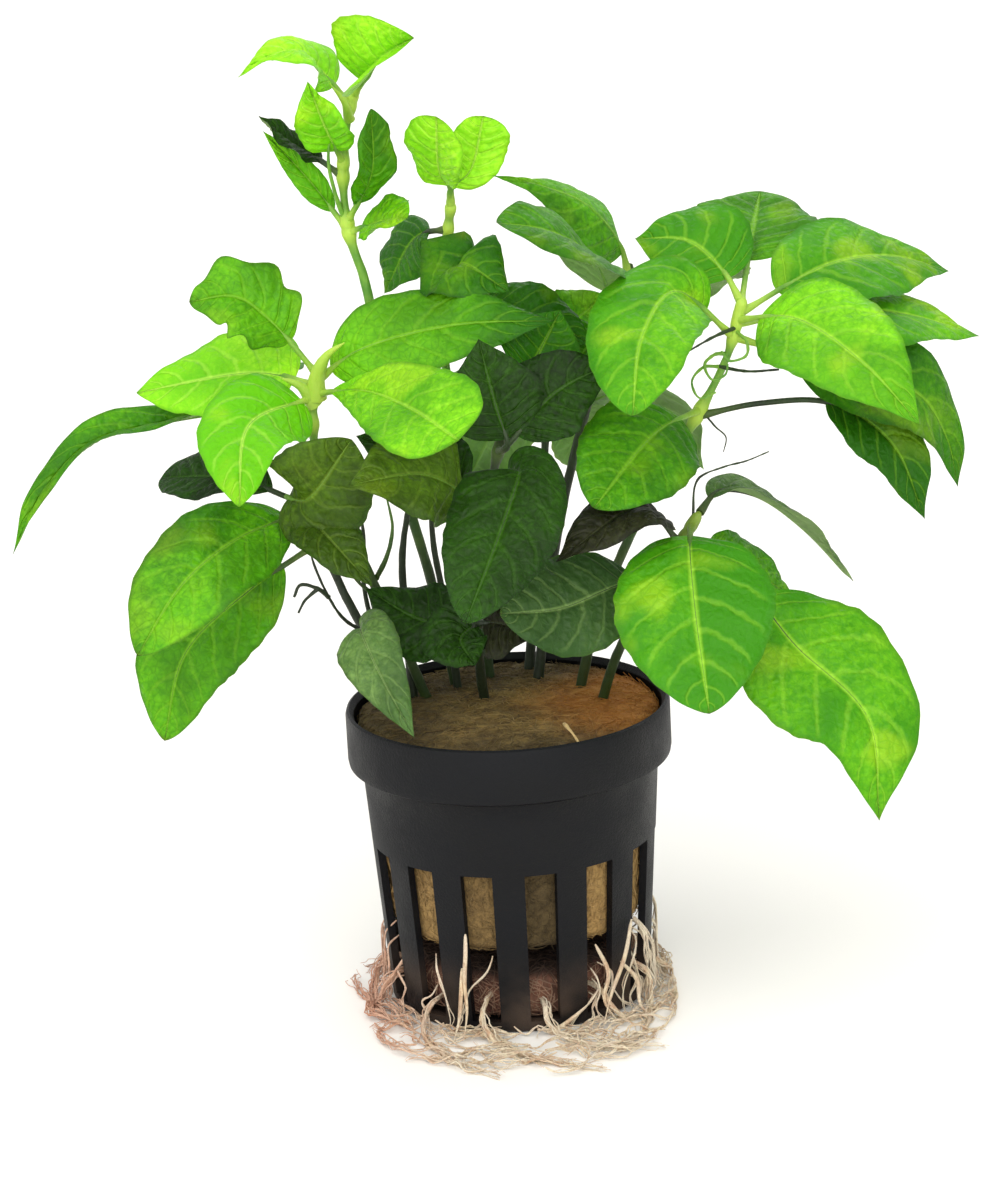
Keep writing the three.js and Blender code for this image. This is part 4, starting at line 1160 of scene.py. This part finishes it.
def buildPotTree():
    numbers = ["Slots", "Slot Share", "Slot Bottom", "Slot Top", "Turn", "Base Slots", "Base Share",
               "Base Inner", "Base Outer", "Base Top"]
    tree, entry, given, leave = newShapeTree("potOpenings", numbers, {"Skin": "Material"})
    x, y, z = splitVector(tree, outOf(tree, "GeometryNodeInputPosition", "Position"))
    turn = (calc(tree, "ARCTAN2", y, x) - given["Turn"]) / (2 * math.pi)
    radius = calc(tree, "SQRT", x * x + y * y)

    def between(value, low, high):
        return calc(tree, "GREATER_THAN", value, low) * calc(tree, "LESS_THAN", value, high)

    def onTurn(count, share):      # in one of the sectors round the axis
        off = calc(tree, "ABSOLUTE", calc(tree, "FRACT", turn * count + 10.5) - 0.5)
        return calc(tree, "LESS_THAN", off, share * 0.5)

    upright = onTurn(given["Slots"], given["Slot Share"])
    upright = upright * between(z, given["Slot Bottom"], given["Slot Top"])
    flat = onTurn(given["Base Slots"], given["Base Share"])
    flat = flat * between(radius, given["Base Inner"], given["Base Outer"])
    flat = flat * calc(tree, "LESS_THAN", z, given["Base Top"])
    opening = calc(tree, "GREATER_THAN", upright + flat, 0.5)
    cut = outOf(tree, "GeometryNodeDeleteGeometry", "Geometry",
                {"Geometry": entry["Geometry"], "Selection": opening}, domain="FACE")
    return endTree(tree, leave, inSkin(tree, cut, entry["Skin"]))


def makePot():
    sheet = growMesh(buildPotTree(), potWall(), {
        "Slots": pot["slots"], "Slot Share": pot["slotShare"], "Turn": math.radians(pot["slotTurn"]),
        "Slot Bottom": pot["slotBottom"] * mm, "Slot Top": pot["slotTop"] * mm,
        "Base Slots": pot["baseSlots"], "Base Share": pot["baseShare"],
        "Base Inner": pot["baseInner"] * mm, "Base Outer": pot["baseOuter"] * mm, "Base Top": 0.04 * mm,
        "Skin": potMaterial(),
    })
    piece = joinMeshes("net_pot_look", [sheet])
    wall = piece.modifiers.new("wall", "SOLIDIFY")
    wall.thickness = pot["wall"] * mm
    wall.offset = -1
    wall.use_even_offset = True
    edges = piece.modifiers.new("edges", "BEVEL")
    edges.width = pot["bevel"] * mm
    edges.segments = 2
    edges.limit_method = "ANGLE"
    edges.angle_limit = math.radians(40)
    edges.harden_normals = True
    for face in piece.data.polygons:
        face.use_smooth = True
    setPiece(piece, "pot_plastic", "net_pot")
    print("pot made")


makePot()


# wool and roots: fine strands of a dark and a middle colour, with light patches and single light fibres
woolPaint = {
    "grain": (190.0, 2200.0),
    "strands": (900.0, 900.0, 260.0),
    "patches": 0.55,
    "fibre": 0.6,
    "rough": 0.92,
    "bump": 0.4,
}


def woolMaterial(name, dark, body, light, extra=None, hue=None):      # extra gives more layers, of this hue
    paint = woolPaint
    material, tree, skin = newMaterial(name)
    place = objectPlace(tree)
    patches, speckle = grainAt(tree, place, *paint["grain"])
    strands = stretchedNoise(tree, place, paint["strands"], 3.0, 0.7)
    layers = [
        (blendStep(tree, strands, 0.35, 0.65), body),
        (patches * paint["patches"], light),
        (attributeAt(tree, "tint") * paint["fibre"], light),
    ]
    if extra:
        layers += extra(tree, place, strands, hue or dark)
    colour = paintOver(tree, dark, layers)
    wireSkin(tree, skin, colour, paint["rough"], strands + speckle * 0.6, paint["bump"])
    return material


# the wool plug: a lumpy body with loose fibres lying on it
woolPlug = {
    "bottom": 13,
    "shoulder": 39.5,
    "top": 46,
    "dome": 1.0,
    "bottomRadius": 19.5,
    "shoulderRadius": 21.3,
    "topRadius": 23.1,
    "grid": 0.9,           # distance between its rings of points, and points round each
    "around": 150,
    "lumps": 0.9,          # height of the lumps
    "lumpScale": 330.0,
    "fibres": 8200,
    "fibreRadius": 0.07,
    "fibreLength": 2.6,
    "seed": 11,
    # a bit of straw at the front edge
    "straw": [(8.3, -18.6, 48.7), (8.8, -19.7, 48.4), (9.6, -20.8, 47.6), (10.4, -21.7, 46.3)],
    "strawRadius": 0.3,
}
# its colours: paler down the side with damp streaks, rusty at the right of the top, and painted shade round
# the rest of the top's edge
plugPaint = {
    "side": "b8935c",
    "sideTop": (40, 44),         # all side below the first height, all top above the second
    "layers": (140.0, 800.0, 500.0),
    "layer": 0.5,
    "damp": "352e18",
    "streaks": [(3.9, 0.85), (-5.2, 0.5), (-13.5, 0.2)],      # x of each and how dark it is
    "streakWidth": (2.4, 4.2),
    "rust": "d4832f",
    "rustShare": 0.7,
    # painted shade round the edge of the top
    "shade": "3c3216",
    "shadeShare": 0.72,
}


def plugLayers(tree, place, strands, dark):
    paint = plugPaint
    x, y, z = splitVector(tree, place)
    low, high = [height * mm for height in paint["sideTop"]]
    flank = 1.0 - blendStep(tree, z, low, high)
    onTop = 1.0 - flank
    sheets = stretchedNoise(tree, place, paint["layers"], 3.0, 0.6)      # layers of wool seen on the top
    layers = [
        (blendStep(tree, sheets, 0.42, 0.62) * onTop * paint["layer"], dark),
        (flank * (0.45 + strands * 0.4), paint["side"]),
    ]
    front = calc(tree, "LESS_THAN", y, 0.0)
    inner, outer = [width * mm for width in paint["streakWidth"]]
    for middle, share in paint["streaks"]:
        off = calc(tree, "ABSOLUTE", x - middle * mm + (strands - 0.5) * 2 * mm)
        layers.append(((1.0 - blendStep(tree, off, inner, outer)) * flank * front * share, paint["damp"]))
    rusty = x - calc(tree, "ABSOLUTE", y + 1 * mm) * 0.5 + (strands - 0.5) * 6 * mm
    layers.append((blendStep(tree, rusty, -4 * mm, 13 * mm) * paint["rustShare"] * onTop, paint["rust"]))
    # painted shade round the top's edge: in front, at the left and behind
    ahead = blendStep(tree, 0.0 - y, 9 * mm, 21 * mm)
    left = blendStep(tree, 0.0 - x, 0.0, 16 * mm)
    behind = blendStep(tree, y - x * 0.5, 0.0, 13 * mm)
    rim = calc(tree, "MAXIMUM", calc(tree, "MAXIMUM", ahead, left), behind)
    layers.append((rim * paint["shadeShare"] * onTop, paint["shade"]))
    return layers


def turnedMesh(name, profile, around):      # a closed turned body from (radius, height) points, axis to axis
    rings = profile[1:-1]
    points = [(0, 0, profile[0][1])] + ringPoints(rings, around) + [(0, 0, profile[-1][1])]
    last = len(points) - 1
    lid = [(last, last - around + i, last - around + (i + 1) % around) for i in range(around)]
    return meshOf(name, points, [], ringFaces(len(rings), around) + lid)


def evenly(points, step):      # more points along a line of (radius, height) points
    finer = [points[0]]
    for (r1, z1), (r2, z2) in zip(points, points[1:]):
        count = max(1, round(math.hypot(r2 - r1, z2 - z1) / step))
        finer += [(r1 + (r2 - r1) * i / count, z1 + (z2 - z1) * i / count) for i in range(1, count + 1)]
    return finer


def randomNumber(tree, low, high, seed):      # 2 and 3 are the sockets for a range of plain numbers
    return outOf(tree, "FunctionNodeRandomValue", 1, {2: low, 3: high, "Seed": seed}, data_type="FLOAT")


def looseFibres(tree, entry, given, body):      # bent bits strewn evenly over the body, lying nearly flat
    area = outOf(tree, "GeometryNodeInputMeshFaceArea", "Area")
    whole = outOf(tree, "GeometryNodeAttributeStatistic", "Sum", {"Geometry": body, "Attribute": area},
                  data_type="FLOAT", domain="FACE")
    spread = addNode(tree, "GeometryNodeDistributePointsOnFaces", {
        "Mesh": body, "Density": given["Fibres"] / Num(tree, whole), "Seed": entry["Seed"]})
    bend = outOf(tree, "GeometryNodeCurvePrimitiveBezierSegment", "Curve", {
        "Resolution": 3, "Start": (-0.5, 0, -0.02), "Start Handle": (-0.2, 0.12, 0.12),
        "End Handle": (0.2, -0.1, 0.14), "End": (0.5, 0.05, 0.0)})
    fibre = tubeAlong(tree, bend, 3, given["Fibre Radius"] / given["Fibre Length"])
    turns = {0: (-0.35, -0.25, 0.0), 1: (0.35, 0.25, 2 * math.pi), "Seed": entry["Seed"]}
    tilt = outOf(tree, "FunctionNodeRandomValue", 0, turns, data_type="FLOAT_VECTOR")
    spin = outOf(tree, "FunctionNodeRotateRotation", "Rotation",
                 {"Rotation": spread.outputs["Rotation"], "Rotate By": tilt}, rotation_space="LOCAL")
    size = Num(tree, randomNumber(tree, 0.5, 1.3, 5)) * given["Fibre Length"]
    fibres = outOf(tree, "GeometryNodeInstanceOnPoints", "Instances", {
        "Points": spread.outputs["Points"], "Instance": inSkin(tree, fibre, entry["Fibre Skin"]),
        "Rotation": spin, "Scale": joinVector(tree, size, size, size)})
    return storeField(tree, fibres, "tint", "FLOAT", "INSTANCE", randomNumber(tree, 0.0, 1.0, 9))


def buildWoolTree():
    tree, entry, given, leave = newShapeTree(
        "woolFibres", ["Lumps", "Lump Scale", "Fibres", "Fibre Radius", "Fibre Length"],
        {"Seed": "Int", "Body Skin": "Material", "Fibre Skin": "Material"})
    place = outOf(tree, "GeometryNodeInputPosition", "Position")
    lumps = (noiseAt(tree, place, given["Lump Scale"], 3.0, 0.6) - 0.56) * given["Lumps"]
    normal = outOf(tree, "GeometryNodeInputNormal", "Normal")
    body = movedShape(tree, entry["Geometry"], Offset=vectorCalc(tree, "SCALE", normal, lumps))
    body = inSkin(tree, smoothShape(tree, body), entry["Body Skin"])
    return endTree(tree, leave, joinShapes(tree, looseFibres(tree, entry, given, body), body))


woolTree = buildWoolTree()


def woolMesh(name, profile, shape, bodySkin, fibreSkin):
    body = turnedMesh(name, evenly(profile, shape["grid"]), shape["around"])
    return growMesh(woolTree, body, {
        "Lumps": shape["lumps"] * mm, "Lump Scale": shape["lumpScale"], "Fibres": shape["fibres"],
        "Fibre Radius": shape["fibreRadius"] * mm, "Fibre Length": shape["fibreLength"] * mm,
        "Seed": shape["seed"], "Body Skin": bodySkin, "Fibre Skin": fibreSkin})


plugHues = {
    "brown_wool": dict(dark="4a3818", body="9c7a3a", light="ccaa60", extra=plugLayers),
    "wool_fibre": dict(dark="513a1b", body="9c7c3c", light="d0b070", extra=plugLayers),
    "straw": dict(dark="9c7c44", body="cda968", light="e6cf98"),
}


def makePlug():
    bottom, shoulder, top, dome = [woolPlug[key] for key in ("bottom", "shoulder", "top", "dome")]
    low, middle, wide = [woolPlug[key] for key in ("bottomRadius", "shoulderRadius", "topRadius")]
    profile = [(0, bottom), (low - 0.8, bottom + 0.2), (low, bottom + 1.2), (middle, shoulder),
               (wide - 0.2, shoulder + 0.4), (wide, top - 1.0), (wide - 1.2, top - 0.1),
               (wide / 2, top + dome * 0.7), (0, top + dome)]
    wool, strand, straw = [woolMaterial(name, **hues) for name, hues in plugHues.items()]
    parts = [woolMesh("plug_body", profile, woolPlug, wool, strand),
             taperedShaft(woolPlug["straw"], 6, woolPlug["strawRadius"], 0.5, 0.0, straw)]
    setPiece(joinMeshes("wool_plug_look", parts), "plug_wool", "wool_plug")
    print("plug made")


makePlug()


# the roots: a matted mass under the plug, and threads that leave the slots and wander on the ground
rootMass = {
    "bottom": 1.6,
    "top": 8.6,
    "radius": 17.4,
    "grid": 0.9,
    "around": 120,
    "lumps": 1.4,
    "lumpScale": 420.0,
    "fibres": 3000,
    "fibreRadius": 0.09,
    "fibreLength": 3.2,
    "seed": 23,
}
rootRuns = [      # main roots: the slot each leaves by, where it lands, how far round it turns and its end
    dict(slot=0, out=26, turn=26, reach=36), dict(slot=1, out=24, turn=30, reach=25),
    dict(slot=2, out=24, turn=-34, reach=33), dict(slot=3, out=22.8, turn=34, reach=24),
    dict(slot=5, out=23, turn=38, reach=25), dict(slot=6, out=23, turn=-34, reach=25),
    dict(slot=8, out=23.5, turn=36, reach=26), dict(slot=10, out=23, turn=34, reach=25),
    dict(slot=11, out=23.5, turn=-34, reach=27), dict(slot=12, out=26.5, turn=36, reach=38),
    dict(slot=13, out=26, turn=34, reach=38.5),
]
fatStrands = [      # thick pale roots in front: two hang, one lies across the foot, three cross at the right
    [(-8.2, -19.9, 16.5), (-8.3, -20.7, 14), (-8.7, -21.0, 9), (-8.6, -21.6, 4.5), (-9.3, -22.9, 0.5)],
    [(-9.0, -19.9, 11), (-9.3, -21.0, 7.5), (-9.9, -21.3, 3), (-10.8, -22.8, 0.5)],
    [(3.4, -21.8, 0.6), (5.6, -21.5, 1.4), (8.2, -20.6, 2.9), (10.2, -19.8, 4.4)],
    [(11.4, -18.0, 13), (13.2, -17.6, 8), (12.4, -18.6, 4), (14.4, -19.4, 0.6)],
    [(17.2, -13.4, 15), (15.9, -15.6, 10), (13.6, -18.0, 5), (12.0, -20.6, 0.6)],
    [(15.2, -15.4, 9), (17.6, -14.6, 5.5), (17.9, -15.9, 2), (19.4, -17.2, 0.5)],
]
threadKinds = {      # radius, how many run side by side, how far they stray from their line, and a seed
    "runs": dict(radius=0.4, threads=8, stray=2.6, seed=1),
    "curls": dict(radius=0.14, threads=2, stray=1.4, seed=4),
    "nets": dict(radius=0.14, threads=2, stray=1.2, seed=7),
    "fat": dict(radius=0.36, threads=1, stray=0.5, seed=9),
}
threadShape = {
    "thin": 0.11,            # radius of all but the first thread on a line
    "waviness": 150.0,       # turns per metre
    "apart": 0.37,           # how differently the threads of one line stray
    "clear": 0.02,           # height over the ground
    "sides": 5,
}
rootCourse = {
    "inside": 13.6,          # how far from the axis a main root starts
    "leave": (4, 1.2),       # height at which it leaves its slot, and how much higher the next ones do
    "out": 2.2,              # its first bend, out from the foot of the pot and down
    "down": 1.6,
    "ground": 0.7,           # height of its middle on the ground
}
diceSeed = 31


def slotTurn(slot, turn):      # as an angle round the axis, with a turn in degrees past the slot's middle
    return math.radians(pot["slotTurn"] + slot * 360 / pot["slots"] + turn)


def rootPath(run, index):
    def polar(radius, share, z):
        angle = slotTurn(run["slot"], run["turn"] * share)
        return (radius * math.cos(angle), radius * math.sin(angle), z)

    lowest, rise = rootCourse["leave"]
    leave = lowest + (index % 3) * rise
    foot, ground = pot["footRadius"], rootCourse["ground"]
    return smoothPath([
        polar(rootCourse["inside"], 0, leave), polar(foot, 0, leave),
        polar(foot + rootCourse["out"], 0, leave - rootCourse["down"]),
        polar(run["out"], 0.2, ground), polar((run["out"] + run["reach"]) / 2, 0.6, ground),
        polar(run["reach"], 1, ground)], 9)


# curls of thread on the ground that run round the foot, further out at the front
looseCurls = {
    "count": 132,
    "frontShare": 0.45,      # share of them that are thrown at the front, and how widely, in radians
    "frontSpread": 0.7,
    "near": 23.6,            # how far out they lie at the sides, and how much further at the front
    "front": 14.5,
    "inner": 20.9,
    "foot": 20.8,            # no nearer to the axis than this
    "step": 1.9,
    "follow": 0.3,           # how soon they turn back to run round the foot
    "wander": 0.42,
}


def curlLimit(angle):
    return looseCurls["near"] + looseCurls["front"] * max(0.0, -math.sin(angle)) ** 2


def looseCurl(dice):
    angle = dice.uniform(0, 2 * math.pi)
    if dice.random() < looseCurls["frontShare"]:
        angle = dice.gauss(-math.pi / 2, looseCurls["frontSpread"])
    inner, step = looseCurls["inner"], looseCurls["step"]
    radius = inner + (curlLimit(angle) - inner) * dice.random() ** 0.9
    way = dice.choice((-1, 1))
    heading = angle + math.pi / 2 * way + dice.uniform(-0.45, 0.45)
    x, y = radius * math.cos(angle), radius * math.sin(angle)
    points = []
    for _ in range(dice.randint(5, 9)):
        points.append((x, y, dice.uniform(0.2, 1.7)))
        x += step * math.cos(heading)
        y += step * math.sin(heading)
        here = math.atan2(y, x)
        reach = math.hypot(x, y)
        keep = min(max(reach, looseCurls["foot"]), curlLimit(here)) / reach
        x, y = x * keep, y * keep
        turn = (here + math.pi / 2 * way - heading + math.pi) % (2 * math.pi) - math.pi
        heading += looseCurls["follow"] * turn + dice.gauss(0, looseCurls["wander"])
    return smoothPath(points, 3)


# threads that hang from the slots down the outside of the pot
slotStrands = {
    "counts": [1, 5, 12, 9, 4, 2, 2, 2, 2, 2, 3, 5, 2, 1],      # for each slot
    "tops": (4, 15),
    "aside": 6,              # degrees to either side of the slot's middle
    "drift": 0.3,            # radians
    "sway": 0.05,
    # share of the way down, and how far out from the wall
    "course": ((0, -1.4), (0.15, 0.3), (0.4, 0.8), (0.65, 1.0), (0.88, 1.7), (1, 3.4)),
}


def slotStrand(dice, slot):
    shape = slotStrands
    top = dice.uniform(*shape["tops"])
    angle = slotTurn(slot, dice.uniform(-shape["aside"], shape["aside"]))
    drift = dice.uniform(-shape["drift"], shape["drift"])
    points = []
    for share, out in shape["course"]:
        z = max(top * (1 - share), 0.25)
        radius = wallRadius(z) + out
        turn = angle + drift * share + dice.uniform(-shape["sway"], shape["sway"])
        points.append((radius * math.cos(turn), radius * math.sin(turn), z))
    return smoothPath(points, 5)


def buildRootTree():
    tree, entry, given, leave = newShapeTree("rootThreads", ["Spread", "Thin", "Seed"],
                                             {"Threads": "Int", "Skin": "Material"})
    copies = addNode(tree, "GeometryNodeDuplicateElements", {
        "Geometry": curveOfEdges(tree, entry["Geometry"]), "Amount": entry["Threads"]}, domain="SPLINE")
    number = Num(tree, copies.outputs["Duplicate Index"])
    place = outOf(tree, "GeometryNodeInputPosition", "Position")
    factor = Num(tree, outOf(tree, "GeometryNodeSplineParameter", "Factor"))
    # each copy strays in its own way, the first one least
    shift = joinVector(tree, 0.0, 0.0, (number + 1.0) * threadShape["apart"] + given["Seed"])
    stray = outOf(tree, "ShaderNodeTexNoise", "Color", {
        "Vector": vectorCalc(tree, "ADD", place, shift), "Scale": threadShape["waviness"], "Detail": 3.0})
    amount = given["Spread"] * (0.35 + blendStep(tree, factor, 0.0, 0.6)) * 2.0
    amount = amount * calc(tree, "MINIMUM", number + 0.12, 1.0)
    offset = vectorCalc(tree, "SCALE", vectorCalc(tree, "SUBTRACT", stray, (0.5, 0.5, 0.5)), amount)
    wild = movedShape(tree, copies.outputs["Geometry"], Offset=offset)
    thick = Num(tree, outOf(tree, "GeometryNodeInputNamedAttribute", "Attribute", {"Name": "thick"},
                            data_type="FLOAT"))
    main = calc(tree, "LESS_THAN", number, 0.5)
    radius = thick * main + given["Thin"] * (1.0 - main)
    radius = radius * (1.0 - blendStep(tree, factor, 0.55, 1.0) * 0.6)
    # none goes under the ground
    x, y, z = splitVector(tree, place)
    rest = joinVector(tree, x, y, calc(tree, "MAXIMUM", z, radius + threadShape["clear"] * mm))
    laid = movedShape(tree, wild, Position=rest)
    shade = calc(tree, "FRACT", number * 0.618 + given["Seed"] * 0.13)
    laid = storeField(tree, laid, "tint", "FLOAT", "POINT", shade)
    thread = smoothShape(tree, tubeByRadius(tree, laid, radius, threadShape["sides"]))
    return endTree(tree, leave, inSkin(tree, thread, entry["Skin"]))


def threadMesh(tree, kind, paths, skin):      # thickest a third of the way along, thin at both ends
    shape = threadKinds[kind]
    shares = [i / (len(path) - 1) for path in paths for i in range(len(path))]
    swell = [0.35 + 0.65 * math.sin(math.pi * share ** 0.7) ** 0.6 for share in shares]
    thick = [shape["radius"] * share * mm for share in swell]
    return growMesh(tree, pathMesh(kind, paths, {"thick": thick}), {
        "Spread": shape["stray"] * mm, "Threads": shape["threads"], "Thin": threadShape["thin"] * mm,
        "Seed": shape["seed"], "Skin": skin})


def shadeUnderPlug(tree, place, _, hue):      # painted shade on the top of the mass, under the plug
    return [(blendStep(tree, splitVector(tree, place)[2], 6.6 * mm, 8.6 * mm) * 0.85, hue)]


def pinkLeft(tree, place, _, hue):
    return [((1.0 - blendStep(tree, splitVector(tree, place)[0], -26 * mm, -8 * mm)) * 0.75, hue)]


# the last hue of root_hair and root_mat is the painted shade under the plug
rootHues = {
    "pale_root": dict(dark="c08c60", body="f0dab2", light="fff6e0", extra=pinkLeft, hue="d8977c"),
    "root_hair": dict(dark="5a382b", body="9c6c56", light="d8b092", extra=shadeUnderPlug, hue="1a100a"),
    "root_mat": dict(dark="321b14", body="7a4c3c", light="b4846a", extra=shadeUnderPlug, hue="120a06"),
}


def makeRoots():
    dice = random.Random(diceSeed)
    tree = buildRootTree()
    pale, hair, matted = [woolMaterial(name, **hues) for name, hues in rootHues.items()]
    paths = {
        "runs": [rootPath(run, i) for i, run in enumerate(rootRuns)],
        "curls": [looseCurl(dice) for _ in range(looseCurls["count"])],
        "nets": [slotStrand(dice, slot) for slot, count in enumerate(slotStrands["counts"])
                 for _ in range(count)],
        "fat": [smoothPath(points, 6) for points in fatStrands],
    }
    threads = [threadMesh(tree, kind, lines, pale) for kind, lines in paths.items()]
    bottom, top, radius = rootMass["bottom"], rootMass["top"], rootMass["radius"]
    profile = [(0, bottom), (radius - 1, bottom), (radius, bottom + 1),
               (radius, top - 1.5), (radius - 1, top), (0, top)]
    mass = woolMesh("mass_body", profile, rootMass, matted, hair)
    setPiece(joinMeshes("roots_look", [mass] + threads), "root_pale", "roots")
    print("roots made")


makeRoots()


# the floor and the light: a plain pale floor under a broad sun and large soft lamps
studio = {
    "floor": "f7f4ef",
    "floorSize": 14,      # metres
    "sky": 0.74,
    # places in millimetres, spread in degrees for a soft shadow, size in metres, power in watts for the lamps
    "sun": dict(place=(-380, -520, 820), power=1.7, spread=90, colour=(1.0, 0.99, 0.965)),
    "lamps": [
        dict(name="front", place=(120, -700, 420), size=0.7, power=2.8, colour=(1.0, 0.99, 0.96)),
        dict(name="back", place=(250, 700, 700), size=0.8, power=2.6, colour=(0.97, 0.99, 1.0)),
    ],
}


def addLight(name, kind, values):      # aimed at the middle of the plant
    data = bpy.data.lights.new(name, kind)
    data.energy = values["power"]
    data.color = values["colour"]
    place = Vector(values["place"]) * mm
    turn = (Vector((0, 0, 0.07)) - place).to_track_quat("-Z", "Y").to_matrix().to_4x4()
    light = bpy.data.objects.new(name, data)
    light.matrix_world = Matrix.Translation(place) @ turn
    bpy.context.scene.collection.objects.link(light)
    return data


def makeStudio():
    bpy.ops.mesh.primitive_plane_add(size=studio["floorSize"])
    floor = bpy.context.object
    floor.name = "floor"
    material, tree, skin = newMaterial("pale_floor")
    wash = noiseAt(tree, objectPlace(tree), 9.0)
    wire(tree, paintOver(tree, studio["floor"], [(wash * 0.2, "ffffff")]), skin.inputs["Base Color"])
    setSkin(skin, {"Roughness": 0.85})
    floor.data.materials.append(material)
    sun = addLight("sun", "SUN", studio["sun"])
    sun.angle = math.radians(studio["sun"]["spread"])
    for lamp in studio["lamps"]:
        data = addLight(lamp["name"], "AREA", lamp)
        data.size = lamp["size"]
    world = bpy.data.worlds.new("sky")
    world.use_nodes = True
    sky = world.node_tree.nodes["Background"]
    sky.inputs["Color"].default_value = (1, 1, 1, 1)
    sky.inputs["Strength"].default_value = studio["sky"]
    bpy.context.scene.world = world
    bpy.context.scene.view_settings.view_transform = "Standard"
    print("studio made")


makeStudio()
